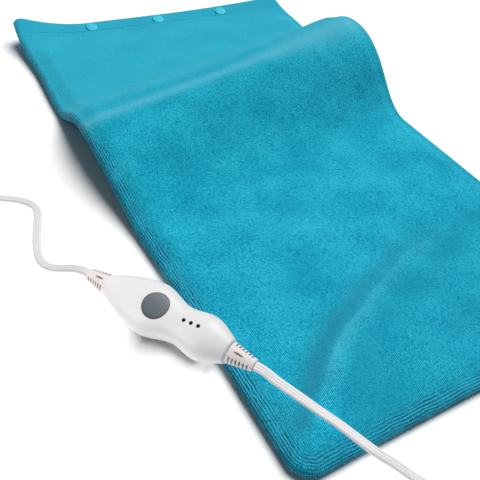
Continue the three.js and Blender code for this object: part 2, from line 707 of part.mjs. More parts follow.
function snapPieces(k) {
  const cap = SNAP_CAP_DIAMETER / 2;
  const ring = SNAP_RING_DIAMETER / 2;
  const post = SNAP_POST_DIAMETER / 2;
  const bore = post + SNAP_CLEARANCE;
  const bottomCloth = HEM_RAISE;
  const room = bottomCloth + COVER_CLOTH;
  const topFace = bottomCloth + HEM_THICKNESS;
  const middle = room + SNAP_ROOM / 2;
  const lift = SNAP_CLEARANCE / 2;
  const dome = SNAP_CAP_HEIGHT * 1.5;
  const seat = topFace + SNAP_CLEARANCE;
  const capProfile = [[0, middle + lift], [post, middle + lift], [post, seat], [cap, seat],
    [cap, seat + SNAP_CAP_HEIGHT / 2], [cap * 0.7, seat + dome * 0.8], [0, seat + dome]];
  const backProfile = [[0, 0], [cap * 0.85, 0], [cap, SNAP_CAP_HEIGHT / 2], [cap, SNAP_CAP_HEIGHT],
    [post, SNAP_CAP_HEIGHT], [post, middle - lift], [0, middle - lift]];
  const ringProfile = (from) => [[bore, from], [ring, from], [ring, from + SNAP_RING_HEIGHT],
    [bore, from + SNAP_RING_HEIGHT], [bore, from]];
  const group = new THREE.Group();
  snapPlace(k).decompose(group.position, group.quaternion, group.scale);
  group.add(
    piece(`snap_cap_${k + 1}`, turned(capProfile, SNAP_SIDES), SNAP_CYAN, 0.4),
    piece(`snap_socket_${k + 1}`, turned(ringProfile(middle + lift), SNAP_SIDES), SNAP_CYAN, 0.4),
    piece(`snap_stud_${k + 1}`, turned(ringProfile(room + lift), SNAP_SIDES), SNAP_CYAN, 0.4),
    piece(`snap_back_${k + 1}`, turned(backProfile, SNAP_SIDES), SNAP_CYAN, 0.4),
  );
  return group;
}

const WIRE_LEVEL = COVER_CLOTH + FELT_THICKNESS + 2 * LAYER_GAP + WIRE_DIAMETER / 2;

// Wire path on the flat cloth: out of the terminal block, up and down the pad, and back along the near edge
function wirePath() {
  const bend = WIRE_PITCH / 2;
  const farTurn = lerp(FOLD_START, TAPER_START, (CELLS_FOLD - 1) / CELLS_FOLD);
  const farReach = Math.min(bend, TAPER_START - farTurn - WIRE_FAR_GAP);
  const terminal = TERMINAL_FAR + FIT;
  const leg = TERMINAL_WIDTH / 4;
  const [nearest, farthest] = [WIRE_NEAR_TURN + bend + WIRE_LINE_GAP, farTurn - WIRE_LINE_GAP];
  const inside = ALONG_LINES.filter((line) => line > nearest && line < farthest);
  const turnIn = WIRE_RETURN - WIRE_CORNER;
  const path = [
    [GLAND_AT + leg, terminal], [GLAND_AT + leg, turnIn], [GLAND_AT + leg + WIRE_CORNER, WIRE_RETURN],
  ];
  for (let k = 0; k < WIRE_RUNS; k += 1) {
    const u = PAD_WIDTH - WIRE_INSET - k * WIRE_PITCH;
    const up = k % 2 === 0;
    const nearEnd = k === 0 || k === WIRE_RUNS - 1 ? WIRE_RETURN + WIRE_CORNER : WIRE_NEAR_TURN + bend;
    const run = [nearEnd, ...inside, farTurn];
    path.push(...(up ? run : run.toReversed()).map((v) => [u, v]));
    if (k + 1 === WIRE_RUNS) break;
    const centre = up ? farTurn : WIRE_NEAR_TURN + bend;
    for (let i = 1; i < TURN_STEPS; i += 1) {
      const angle = (Math.PI * i) / TURN_STEPS;
      path.push([u - bend + bend * Math.cos(angle), centre + (up ? farReach : -bend) * Math.sin(angle)]);
    }
  }
  path.push([WIRE_INSET + WIRE_CORNER, WIRE_RETURN], [GLAND_AT - leg - WIRE_CORNER, WIRE_RETURN]);
  path.push([GLAND_AT - leg, turnIn], [GLAND_AT - leg, terminal]);
  return path.map(([u, v]) => facetPoint(u, v, WIRE_LEVEL));
}

function thermostat(v) {
  const { width, length, radius } = THERMOSTAT;
  const between = WIRE_INSET + WIRE_PITCH * (WIRE_RUNS / 2 - 0.5);
  return slab(width, length, WIRE_DIAMETER, radius).translate(between, v, WIRE_LEVEL - WIRE_DIAMETER / 2);
}

function terminalBlock() {
  const low = COVER_CLOTH + LAYER_GAP;
  const height = EDGE_THICKNESS - 2 * COVER_CLOTH - 2 * LAYER_GAP;
  const depth = TERMINAL_FAR - TERMINAL_NEAR;
  return slab(TERMINAL_WIDTH, depth, height, 2).translate(GLAND_AT, (TERMINAL_FAR + TERMINAL_NEAR) / 2, low);
}

function padGland() {
  const start = -TERMINAL_NEAR + FIT;
  const ring = (x, { width, height }) => ringAt(x, width, height);
  return fromNearEdge(loft([
    ring(start, GLAND_NECK), ring(FIT, GLAND_NECK), ring(FIT, GLAND_ROOT),
    ring(GLAND_LENGTH * 0.3, GLAND_ROOT), ring(GLAND_LENGTH, CORD_END),
  ]));
}

function padPieces() {
  const group = new THREE.Group();
  const wire = tube(new Route(wirePath()), roundSection(WIRE_DIAMETER, WIRE_SIDES));
  const lowFelt = COVER_CLOTH + LAYER_GAP;
  const highFelt = WIRE_LEVEL + WIRE_DIAMETER / 2 + LAYER_GAP;
  group.add(
    piece('cover_front', coverWithHoles(topHeight), TURQUOISE, 0.95),
    piece('cover_back', coverWithHoles(baseHeight), TURQUOISE, 0.95),
    piece('felt_bottom', feltSheet(lowFelt), FELT_WHITE, 1),
    piece('felt_top', feltSheet(highFelt), FELT_WHITE, 1),
    piece('heating_wire', wire, COPPER_RED, 0.6),
    piece('terminal_block', terminalBlock(), CASE_WHITE, 0.5),
    piece('pad_gland', padGland(), CASE_WHITE, 0.5),
    ...THERMOSTAT.places.map((v, k) => piece(`thermostat_${k + 1}`, thermostat(v), PART_BLACK, 0.5)),
  );
  for (let k = 0; k < SNAP_COUNT; k += 1) group.add(snapPieces(k));
  return group;
}

// Controller shells
const halfWidth = smoothCurve([
  [0, END_HALF_WIDTH, WIDTH_SLOPES.start], [BULGE_AT, BULGE_HALF_WIDTH, 0], [WAIST_AT, WAIST_HALF_WIDTH, 0],
  [TAIL_AT, TAIL_HALF_WIDTH, 0], [BODY_LENGTH, END_HALF_WIDTH, WIDTH_SLOPES.end],
]);
const topCurve = smoothCurve([
  [0, END_HEIGHT, HEIGHT_SLOPES.start], [BULGE_AT, BULGE_HEIGHT, 0], [WAIST_AT, WAIST_HEIGHT, 0],
  [TAIL_AT, TAIL_HEIGHT, 0], [BODY_LENGTH, END_HEIGHT, HEIGHT_SLOPES.end],
]);
const baseCurve = smoothCurve([
  [0, END_DEPTH, DEPTH_SLOPES.start], [BASE_START, BASE_DEPTH, 0], [BASE_END, BASE_DEPTH, 0],
  [BODY_LENGTH, END_DEPTH, DEPTH_SLOPES.end],
]);

// Height of the top shell's outer face at a place on it
function topFace(along, across) {
  const share = Math.abs(across / halfWidth(along)) ** TOP_SQUARENESS;
  return topCurve(along) * (1 - share) ** (1 / TOP_SQUARENESS);
}

// Half section of one shell; an inner one runs past the parting plane so that it opens the shell
function shellRing(along, top, inset, swell = 0) {
  const width = halfWidth(along) - inset + swell;
  const squareness = top ? TOP_SQUARENESS : BASE_SQUARENESS;
  const height = (top ? topCurve(along) : baseCurve(along)) - inset + swell;
  const parting = inset > 0 || swell > 0 ? -1 : PARTING_GAP / 2;
  const points = [];
  for (let i = 0; i <= SECTION_STEPS; i += 1) {
    const angle = (Math.PI * i) / SECTION_STEPS;
    const y = width * Math.sign(Math.cos(angle)) * Math.abs(Math.cos(angle)) ** (2 / squareness);
    const curve = Math.abs(Math.sin(angle)) ** (2 / squareness);
    const z = top ? height * curve : Math.min((height + BASE_FLATTENING) * curve, height);
    points.push([y, Math.max(z, parting)]);
  }
  if (parting < 0) points.push([-width, parting], [width, parting]);
  return points.map(([y, z]) => new THREE.Vector3(along, y, top ? z : -z));
}

function shellLoft(top, inset, swell = 0) {
  const places = spread(inset, BODY_LENGTH - inset, BODY_STATIONS);
  return loft(places.map((along) => shellRing(along, top, inset, swell)));
}

function bossIn(outer, top, x, y, diameter, from) {
  const reach = BULGE_HEIGHT + BASE_DEPTH;
  return shared(outer, top ? rod(diameter, from, reach, x, y) : rod(diameter, -reach, from, x, y));
}

const LIGHTS = Array.from({ length: LIGHT_COUNT }, (_, k) => {
  const step = (k - (LIGHT_COUNT - 1) / 2) * LIGHT_PITCH;
  const slant = degToRad(LIGHT_SLANT);
  return [LIGHT_MIDDLE.along + step * Math.cos(slant), LIGHT_MIDDLE.across + step * Math.sin(slant)];
});

function neckHoles() {
  const oval = (from, to) => ovalBar(from, to, RELIEF_NECK.width + 2 * FIT, RELIEF_NECK.height + 2 * FIT);
  return [oval(-BODY_WALL, 2 * BODY_WALL), oval(BODY_LENGTH - 2 * BODY_WALL, BODY_LENGTH + BODY_WALL)];
}

function topShell() {
  const outer = shellLoft(true, 0);
  const bosses = SCREW_PLACES.map(([x, y]) => bossIn(outer, true, x, y, BOSS_DIAMETER, PARTING_GAP / 2));
  const shell = joined([cut(outer, [shellLoft(true, BODY_WALL)]), ...bosses]);
  const high = BULGE_HEIGHT * 2;
  const screwHoles = SCREW_PLACES
    .map(([x, y]) => rod(SCREW_DIAMETER + 2 * FIT, -1, SCREW_REACH + FIT, x, y, SCREW_SIDES));
  const lightHoles = LIGHTS.map(([x, y]) => rod(LIGHT_DIAMETER + 2 * FIT, 0, high, x, y));
  const buttonHole = rod(BUTTON_DIAMETER + 2 * BUTTON_GAP, 0, high, BUTTON_AT, 0, BUTTON_SIDES);
  return cut(shell, [...neckHoles(), ...screwHoles, ...lightHoles, buttonHole]);
}

function bottomShell() {
  const outer = shellLoft(false, 0);
  const boardUnder = BOARD.top - BOARD.thickness;
  const bosses = SCREW_PLACES.map(([x, y]) => bossIn(outer, false, x, y, BOSS_DIAMETER, -PARTING_GAP / 2));
  const posts = POST_PLACES.map(([x, y]) => bossIn(outer, false, x, y, POST_DIAMETER, boardUnder - FIT));
  const shell = joined([cut(outer, [shellLoft(false, BODY_WALL)]), ...bosses, ...posts]);
  const screwHoles = SCREW_PLACES.flatMap(([x, y]) => [
    rod(SCREW_DIAMETER + 2 * FIT, 2 * SCREW_SEAT, 1, x, y, SCREW_SIDES),
    rod(SCREW_HEAD_DIAMETER + 2 * FIT, -2 * BASE_DEPTH, SCREW_SEAT, x, y),
  ]);
  return cut(shell, [...neckHoles(), ...screwHoles]);
}

// Button: its top follows the shell, a flange keeps it in and a stem pushes the switch
const ON_BOARD = BOARD.top + FIT;
const SWITCH_TOP = ON_BOARD + SWITCH_HEIGHT;
const PLUNGER_TOP = SWITCH_TOP + SWITCH_PLUNGER_HEIGHT;
const BUTTON_TRAVEL_GAP = BUTTON_TRAVEL - PLUNGER_TRAVEL + PLUNGER_GAP;

function powerButton() {
  const radius = BUTTON_DIAMETER / 2;
  const flangeRadius = radius + BUTTON_FLANGE;
  const flangeTop = topFace(BUTTON_AT, flangeRadius) - BODY_WALL * 1.25 - FIT;
  const flangeBase = flangeTop - BUTTON_FLANGE_THICKNESS;
  const swollen = shellLoft(true, 0, BUTTON_PROUD);
  const disc = (diameter, from, to) => rod(diameter, from, to, BUTTON_AT, 0, BUTTON_SIDES);
  const capFoot = flangeTop - BUTTON_FLANGE_THICKNESS / 2;
  const cap = shared(disc(BUTTON_DIAMETER, capFoot, BULGE_HEIGHT * 2), swollen);
  const flange = disc(2 * flangeRadius, flangeBase, flangeTop);
  const hollow = disc(BUTTON_DIAMETER - 2 * BODY_WALL, 0, BULGE_HEIGHT - BUTTON_CAP_THICKNESS);
  const stemTop = BULGE_HEIGHT - BUTTON_CAP_THICKNESS / 2;
  const stem = rod(BUTTON_STEM_DIAMETER, PLUNGER_TOP + BUTTON_TRAVEL_GAP, stemTop, BUTTON_AT, 0, STEM_SIDES);
  return joined([cut(joined([cap, flange]), [hollow]), stem]);
}

// Light pipe from the lamp on the board up to the shell's face
function lightPipe([x, y]) {
  const lamp = ON_BOARD + LAMP_HEIGHT;
  const face = topFace(x, y);
  const radius = LIGHT_DIAMETER / 2;
  const dome = [[radius, face], [radius * 0.6, face + LENS_RISE * 0.8], [0, face + LENS_RISE]];
  const profile = [[0, lamp + FIT], [radius, lamp + FIT], ...dome];
  return turned(profile, 10).translate(x, y, 0);
}

function screw([x, y]) {
  const [shank, head] = [SCREW_DIAMETER / 2, SCREW_HEAD_DIAMETER / 2];
  const seat = SCREW_SEAT - FIT;
  const low = seat - SCREW_HEAD_HEIGHT;
  const headProfile = [[0, low], [head * 0.8, low], [head, low + SCREW_HEAD_HEIGHT / 2], [head, seat]];
  const profile = [...headProfile, [shank, seat], [shank, SCREW_REACH - shank], [0, SCREW_REACH]];
  return turned(profile, SCREW_SIDES).translate(x, y, 0);
}

// Switch under the button: a body with a well, and the plunger that goes down into it
function switchBody() {
  const body = slab(SWITCH_SIZE, SWITCH_SIZE, SWITCH_HEIGHT, SWITCH_SIZE / 10);
  const bore = SWITCH_PLUNGER_DIAMETER + 2 * FIT;
  const well = rod(bore, SWITCH_TOP - SWITCH_WELL, PLUNGER_TOP, BUTTON_AT, 0, STEM_SIDES);
  return cut(body.translate(BUTTON_AT, 0, ON_BOARD), [well]);
}

function switchPlunger() {
  const foot = SWITCH_TOP - SWITCH_WELL + PLUNGER_TRAVEL + FIT;
  return rod(SWITCH_PLUNGER_DIAMETER, foot, PLUNGER_TOP, BUTTON_AT, 0, STEM_SIDES);
}

// Parts on the circuit board, which all stand on its upper face
function onBoard({ along, across, size: [length, width, height], radius }) {
  return slab(length, width, height, radius).translate(along, across, ON_BOARD);
}

function boardParts() {
  const board = slab(BOARD.end - BOARD.start, BOARD.width, BOARD.thickness, BOARD.radius)
    .translate((BOARD.start + BOARD.end) / 2, 0, BOARD.top - BOARD.thickness);
  const can = rod(STORAGE_CAPACITOR.diameter, ON_BOARD, ON_BOARD + STORAGE_CAPACITOR.height,
    STORAGE_CAPACITOR.along, STORAGE_CAPACITOR.across);
  const fuse = rod(FUSE.diameter, -FUSE.length / 2, FUSE.length / 2).rotateY(Math.PI / 2)
    .translate(FUSE.along, FUSE.across, ON_BOARD + FUSE.diameter / 2);
  const lampSize = [LAMP_SIZE, LAMP_SIZE, LAMP_HEIGHT];
  return [
    piece('circuit_board', board, BOARD_GREEN, 0.5),
    piece('switch_body', switchBody(), PART_BLACK, 0.5),
    piece('film_capacitor', onBoard(FILM_CAPACITOR), COPPER_RED, 0.4),
    piece('storage_capacitor', can, PART_BLACK, 0.4),
    piece('triac', onBoard(TRIAC), PART_BLACK, 0.5),
    piece('fuse', fuse, STEEL, 0.3, 0.6),
    piece('control_chip', onBoard(CONTROL_CHIP), PART_BLACK, 0.6),
    ...LIGHTS.map(([along, across], k) => piece(`lamp_${k + 1}`,
      onBoard({ along, across, size: lampSize, radius: LAMP_SIZE / 6 }), CASE_WHITE, 0.3)),
  ];
}

// Conductor from a relief's inner flange to the board
function conductor(side, fromEnd) {
  const { diameter, across, rise, straight, slack, landing, foot } = CONDUCTOR;
  const inner = BODY_WALL + RELIEF_FLANGE_THICKNESS + 3 * FIT;
  const edge = fromEnd ? BODY_LENGTH - BOARD.end : BOARD.start;
  const low = ON_BOARD + diameter / 2;
  const points = [[inner, 0], [inner + straight, 0], [edge - slack, rise], [edge - straight, rise],
    [edge + landing, low], [edge + foot, low]]
    .map(([x, z]) => new THREE.Vector3(fromEnd ? BODY_LENGTH - x : x, side * across, z));
  return tube(new Route(points), roundSection(diameter, CONDUCTOR_SIDES));
}

// Strain relief along X, with slots in its flanks and a slit on top; zero is the shell's end face
function relief() {
  const inside = -(BODY_WALL + FIT);
  const ring = (x, { width, height }) => ringAt(x, width, height);
  const share = (x) => smoothstep(x, -RELIEF_LENGTH * 0.2, RELIEF_LENGTH * 1.3) / smoothstep(1, -0.2, 1.3);
  const size = (x) => ({
    width: lerp(RELIEF_ROOT.width, CORD_END.width, share(x)),
    height: lerp(RELIEF_ROOT.height, CORD_END.height, share(x)),
  });
  const body = loft([
    ring(inside - RELIEF_FLANGE_THICKNESS, RELIEF_FLANGE), ring(inside, RELIEF_FLANGE),
    ring(inside, RELIEF_NECK), ring(FIT, RELIEF_NECK),
    ...spread(FIT, RELIEF_LENGTH, RELIEF_CELLS).map((x) => ring(x, size(x))),
  ]);
  const slots = Array.from({ length: RELIEF_SLOTS }, (_, k) => {
    const x = RELIEF_SLOT_START + k * RELIEF_SLOT_PITCH;
    const { width, height } = size(x);
    const reach = 2 * RELIEF_SLOT_DEPTH;
    const tall = height * RELIEF_SLOT_SHARE;
    return [1, -1].map((side) => block(RELIEF_SLOT_WIDTH, reach, tall, x, (side * width) / 2, 0));
  });
  const slit = new THREE.CylinderGeometry(0.5, 0.5, 2 * RELIEF_SLIT.depth, 10).rotateX(Math.PI / 2)
    .scale(RELIEF_SLIT.length, RELIEF_SLIT.width, 1)
    .translate(RELIEF_SLIT.at, 0, size(RELIEF_SLIT.at).height / 2);
  return cut(body, [...slots.flat(), slit]);
}

// Tilts the controller up from the floor until its pad end rests on the pad's edge
function restOnPad(group, base) {
  const corners = Array.from({ length: base.attributes.position.count }, (_, i) =>
    new THREE.Vector3().fromBufferAttribute(base.attributes.position, i));
  const clearanceAt = (pitch) => {
    group.rotation.set(degToRad(BODY_ROLL), degToRad(-pitch), degToRad(BODY_TURN), 'ZYX');
    group.position.set(-BODY_OUT, BODY_FROM_NEAR_EDGE, 0);
    group.updateMatrixWorld(true);
    const placed = corners.map((corner) => corner.clone().applyMatrix4(group.matrixWorld));
    const drop = Math.min(...placed.map(({ z }) => z)) - FLOOR_GAP;
    group.position.z = -drop;
    group.updateMatrixWorld(true);
    const fromEdge = ({ x, y }) => x + cornerPull(x, y);
    const onPad = placed.filter((corner) => fromEdge(corner) > 0);
    return Math.min(...onPad.map((corner) => corner.z - drop - topHeight(corner.y, fromEdge(corner), 0)));
  };
  let [low, high] = [0, STEEPEST_PITCH];
  while (high - low > 0.01) {
    const middle = (low + high) / 2;
    if (clearanceAt(middle) < REST_GAP) low = middle;
    else high = middle;
  }
  clearanceAt(high);
}

function controllerPieces() {
  const group = new THREE.Group();
  group.add(
    piece('controller_top', topShell(), CASE_WHITE, 0.35),
    piece('controller_bottom', bottomShell(), CASE_WHITE, 0.35),
    piece('power_button', powerButton(), BUTTON_GREY, 0.5),
    piece('switch_plunger', switchPlunger(), PART_BLACK, 0.5),
    ...LIGHTS.map((place, k) => piece(`light_lens_${k + 1}`, lightPipe(place), LENS_BLACK, 0.2)),
    ...SCREW_PLACES.map((place, k) => piece(`case_screw_${k + 1}`, screw(place), STEEL, 0.35, 0.9)),
    ...boardParts(),
    piece('mains_wire_1', conductor(1, false), PART_BLACK, 0.6),
    piece('mains_wire_2', conductor(-1, false), CASE_WHITE, 0.6),
    piece('pad_wire_1', conductor(1, true), PART_BLACK, 0.6),
    piece('pad_wire_2', conductor(-1, true), CASE_WHITE, 0.6),
    piece('relief_mains', relief().rotateZ(Math.PI), CASE_WHITE, 0.45),
    piece('relief_pad', relief().translate(BODY_LENGTH, 0, 0), CASE_WHITE, 0.45),
  );
  restOnPad(group, group.getObjectByName('controller_bottom').geometry);
  return group;
}

// Cords: smooth curve from one end to the other through the chosen points, in even steps between straight
// ends
function cordRoute(start, heading, points, end, arrival, rollAt) {
  const straight = CORD_WIDTH;
  const leaving = start.clone().addScaledVector(heading, straight);
  const arriving = end.clone().addScaledVector(arrival, -straight);
  const through = points.map((point) => new THREE.Vector3(...point));
  const curve = new THREE.CatmullRomCurve3([start, leaving, ...through, arriving, end], false, 'centripetal');
  const steps = Math.round(curve.getLength() / CORD_STEP);
  const clear = straight + CORD_STEP / 2;
  const between = curve.getSpacedPoints(steps)
    .filter((point) => point.distanceTo(start) > clear && point.distanceTo(end) > clear);
  const route = [start, leaving, ...between, arriving, end];
  return new Route(route, route.map((_, i) => rollAt(i / (route.length - 1))));
}

// Loops of the wound-up lead: in along the lower layer, up where the spiral turns back, and out along the
// upper one
const COIL_PITCH = CORD_THICKNESS + COIL_GAP;
const COIL_LAYER = CORD_WIDTH + COIL_GAP;
const COIL_LOW = FLOOR_GAP + TIE_BAND + TIE_CLEARANCE + CORD_WIDTH / 2;
const COIL_TURNS = COIL_WHOLE_TURNS + (COIL_END - COIL_START) / 360;
const COIL_SPIRAL = (COIL_TURNS - 0.5) / 2;
const COIL_INNER = COIL_RADIUS - COIL_PITCH * COIL_SPIRAL;

function coilPoint(turns) {
  const angle = degToRad(COIL_START) + 2 * Math.PI * turns;
  const inward = Math.min(turns, COIL_SPIRAL, COIL_TURNS - turns);
  const radius = COIL_RADIUS - COIL_PITCH * inward;
  const height = COIL_LOW + COIL_LAYER * smoothstep(turns, COIL_SPIRAL, COIL_SPIRAL + 0.5);
  const [x, y] = COIL_CENTRE;
  return new THREE.Vector3(x + radius * Math.cos(angle), y + radius * Math.sin(angle), height);
}

function coilHeading(angleDegrees) {
  const angle = degToRad(angleDegrees);
  return new THREE.Vector3(-Math.sin(angle), Math.cos(angle), 0);
}

function coilRoute() {
  const steps = Math.round(COIL_TURNS * COIL_STEPS);
  const loops = Array.from({ length: steps + 1 }, (_, i) => coilPoint((COIL_TURNS * i) / steps));
  const first = loops[0].clone().addScaledVector(coilHeading(COIL_START), -CORD_WIDTH);
  const last = loops[steps].clone().addScaledVector(coilHeading(COIL_END), CORD_WIDTH);
  const points = [first, ...loops, last];
  return new Route(points, points.map(() => Math.PI / 2));
}

// Least distance between the faces of different loops, on the corners of their sections
function coilLeastGap(route) {
  const frames = route.computeFrenetFrames();
  const section = straightSection();
  const rings = route.points.map((point, i) => section.map((corner) => point.clone()
    .addScaledVector(frames.normals[i], corner.x).addScaledVector(frames.binormals[i], corner.y)));
  let least = Infinity;
  for (let i = 0; i < rings.length; i += 1) {
    for (let j = i + COIL_STEPS / 2; j < rings.length; j += 1) {
      if (route.points[i].distanceTo(route.points[j]) > 2 * CORD_WIDTH) continue;
      for (const a of rings[i]) {
        for (const b of rings[j]) least = Math.min(least, a.distanceTo(b));
      }
    }
  }
  return least;
}

// Tie: a flat band round the loops at one place, with its ends twisted together
function coilTie() {
  const inner = COIL_INNER - CORD_THICKNESS / 2 - TIE_CLEARANCE;
  const outer = COIL_RADIUS + CORD_THICKNESS / 2 + TIE_CLEARANCE;
  const low = COIL_LOW - CORD_WIDTH / 2 - TIE_CLEARANCE;
  const high = COIL_LOW + COIL_LAYER + CORD_WIDTH / 2 + TIE_CLEARANCE;
  const [wide, tall] = [outer - inner, high - low];
  const band = slab(wide + 2 * TIE_BAND, tall + 2 * TIE_BAND, TIE_WIDTH, TIE_CORNER + TIE_BAND)
    .translate(0, 0, -TIE_WIDTH / 2);
  const hole = slab(wide, tall, 2 * TIE_WIDTH, TIE_CORNER).translate(0, 0, -TIE_WIDTH);
  const twist = rod(TIE_TWIST_DIAMETER, -TIE_TWIST_LENGTH / 2, TIE_TWIST_LENGTH / 2).rotateY(Math.PI / 2)
    .translate((wide + TIE_TWIST_LENGTH) / 2, tall / 2, 0);
  const tie = cut(joined([band, twist]), [hole]);
  return tie.rotateX(Math.PI / 2).translate((inner + outer) / 2, 0, (low + high) / 2)
    .rotateZ(degToRad(TIE_ANGLE)).translate(...COIL_CENTRE, 0);
}

// Plug along X from its cord end, lying on its broad side
function plugPieces(cordEnd, heading) {
  const face = PLUG_SECTIONS.at(-1)[0];
  const body = loft(PLUG_SECTIONS.map(([x, width, height]) => ringAt(x, width, height, PLUG_SQUARENESS)));
  const sides = [1, -1].map((side) => (side * BLADE_SPACING) / 2);
  const thick = BLADE_THICKNESS + 2 * FIT;
  const pockets = sides.map((y, k) => block(2 * BLADE_ROOT, thick, BLADE_WIDTHS[k] + 2 * FIT, face, y, 0));
  const group = new THREE.Group();
  group.add(piece('plug_body', cut(body, pockets), CASE_WHITE, 0.45));
  sides.forEach((y, k) => {
    const half = BLADE_WIDTHS[k] / 2;
    const [from, to] = [face - BLADE_ROOT + FIT, face + BLADE_LENGTH];
    const corners = [[from, -half], [to - BLADE_CHAMFER, -half], [to, -half + BLADE_CHAMFER],
      [to, half - BLADE_CHAMFER], [to - BLADE_CHAMFER, half], [from, half]];
    const outline = new THREE.Shape(corners.map(([x, z]) => new THREE.Vector2(x, z)));
    const eye = new THREE.Path().absarc(to - BLADE_HOLE_FROM_TIP, 0, BLADE_HOLE / 2, 0, 2 * Math.PI, true);
    outline.holes.push(eye);
    const bladeShape = { depth: BLADE_THICKNESS, bevelEnabled: false, curveSegments: 6 };
    const blade = new THREE.ExtrudeGeometry(outline, bladeShape)
      .rotateX(Math.PI / 2).translate(0, y + BLADE_THICKNESS / 2, 0);
    group.add(piece(`plug_blade_${k + 1}`, blade, BRASS, 0.3, 0.9));
  });
  group.position.copy(cordEnd).addScaledVector(heading, CORD_GAP);
  group.rotation.z = Math.atan2(heading.y, heading.x);
  return group;
}

function cordPieces(controller) {
  const group = new THREE.Group();
  const inBody = (x) => new THREE.Vector3(x, 0, 0).applyMatrix4(controller.matrixWorld);
  const axis = inBody(1).sub(inBody(0));
  const flat = () => 0;
  const padEnd = inBody(BODY_LENGTH + RELIEF_LENGTH + CORD_GAP);
  const gland = new THREE.Vector3(GLAND_AT, -GLAND_LENGTH - CORD_GAP, SEAM_HEIGHT);
  const padRoute = cordRoute(padEnd, axis, PAD_LEAD_ROUTE, gland, new THREE.Vector3(0, 1, 0), flat);

  const coil = coilRoute();
  const start = coilHeading(COIL_START);
  const end = coilHeading(COIL_END);
  const mainsEnd = inBody(-RELIEF_LENGTH - CORD_GAP);
  const coilIn = coil.points[0].clone().addScaledVector(start, -CORD_GAP);
  const twist = (t) => (Math.PI / 2) * smoothstep(t, MAINS_TWIST_FROM, MAINS_TWIST_TO);
  const mainsRoute = cordRoute(mainsEnd, axis.clone().negate(), MAINS_LEAD_ROUTE, coilIn, start, twist);

  const coilOut = coil.points.at(-1).clone().addScaledVector(end, CORD_GAP);
  const plugHeight = PLUG_SECTIONS.at(-1)[2] / 2 + FLOOR_GAP;
  const plugIn = coilOut.clone().addScaledVector(end, PLUG_TAIL).setZ(plugHeight);
  const untwist = (t) => (Math.PI / 2) * (1 - smoothstep(t, 0.1, 0.9));
  const tailRoute = cordRoute(coilOut, end, [], plugIn, end, untwist);
  console.log('least gap between the loops of the wound-up lead, mm:', coilLeastGap(coil).toFixed(2));

  group.add(
    piece('pad_lead', tube(padRoute, twinSection()), CASE_WHITE, 0.5),
    piece('mains_lead', tube(mainsRoute, twinSection()), CASE_WHITE, 0.5),
    piece('mains_coil', tube(coil, straightSection()), CASE_WHITE, 0.5),
    piece('mains_tail', tube(tailRoute, twinSection()), CASE_WHITE, 0.5),
    piece('coil_tie', coilTie(), CASE_WHITE, 0.6),
    plugPieces(plugIn, end),
  );
  return group;
}

const heatingPad = new THREE.Group();
const controller = controllerPieces();
heatingPad.add(padPieces(), controller, cordPieces(controller));
heatingPad.position.set(-PAD_WIDTH / 2, -ORIGIN_FROM_NEAR_EDGE, 0);

export default heatingPad;
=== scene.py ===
import math
from functools import partial

import bpy
import numpy as np
from mathutils import Matrix, Vector


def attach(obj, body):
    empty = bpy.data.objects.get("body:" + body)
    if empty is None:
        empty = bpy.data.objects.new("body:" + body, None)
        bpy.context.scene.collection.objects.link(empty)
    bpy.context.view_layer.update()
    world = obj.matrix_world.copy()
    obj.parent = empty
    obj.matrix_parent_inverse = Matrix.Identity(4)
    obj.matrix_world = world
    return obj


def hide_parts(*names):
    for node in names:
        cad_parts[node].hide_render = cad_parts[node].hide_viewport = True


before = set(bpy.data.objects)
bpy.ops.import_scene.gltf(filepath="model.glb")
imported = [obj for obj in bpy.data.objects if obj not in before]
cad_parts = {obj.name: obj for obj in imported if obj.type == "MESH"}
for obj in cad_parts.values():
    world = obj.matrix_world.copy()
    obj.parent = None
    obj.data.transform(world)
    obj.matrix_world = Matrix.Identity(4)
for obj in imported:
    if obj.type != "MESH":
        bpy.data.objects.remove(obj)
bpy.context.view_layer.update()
MM = 0.001
PAD_CORNER = np.array([-152.5, -150.0, 0.0])
SEED, NOISE_MARGIN = 7, 40
FULL_TURN = 2 * math.pi
SQUARE = ((-1, -1), (1, -1), (1, 1), (-1, 1))


def placed(points):
    return (np.asarray(points, float) + PAD_CORNER) * MM


def ramp(x, low, high):
    t = np.clip((x - low) / (high - low), 0, 1)
    return t * t * (3 - 2 * t)


def mix(a, b, share):
    return a + (b - a) * share


def unit(vectors):
    return vectors / np.linalg.norm(vectors, axis=-1, keepdims=True)


def running_sum(steps):
    return np.concatenate([[0], np.cumsum(steps)])


def falling(x, reach):
    """From 1 at 0 down to 0 at the reach."""
    return np.clip(1 - x / reach, 0, 1)


def quarter(count):
    return np.linspace(0, np.pi / 2, count)


def edge_trim(radius, past):
    """What a rounded edge takes off at a place that far past its start."""
    return radius - math.sqrt(max(radius**2 - past**2, 0))


def srgb(red, green, blue):
    def linear(value):
        value /= 255
        return value / 12.92 if value <= 0.04045 else ((value + 0.055) / 1.055) ** 2.4

    return (linear(red), linear(green), linear(blue), 1.0)


# Camera
scene = bpy.context.scene
scene.view_settings.view_transform = "Standard"
FORWARD = Vector((0.4217, 0.6185, -0.6630)).normalized()
CAMERA_PLACE = Vector((-0.33555, -0.32576, 0.40390))
CAMERA_SIDE = Vector((0.8627, -0.4989, 0.0832))
camera_data = bpy.data.cameras.new("camera")
camera_data.lens = 57.44
camera_data.sensor_width = 36
camera_data.clip_start = 0.01
camera = bpy.data.objects.new("camera", camera_data)
scene.collection.objects.link(camera)
camera_up = CAMERA_SIDE.cross(FORWARD).normalized()
camera_side = FORWARD.cross(camera_up)
turn = Matrix((camera_side, camera_up, -FORWARD)).transposed()
camera.matrix_world = Matrix.Translation(CAMERA_PLACE) @ turn.to_4x4()
scene.camera = camera


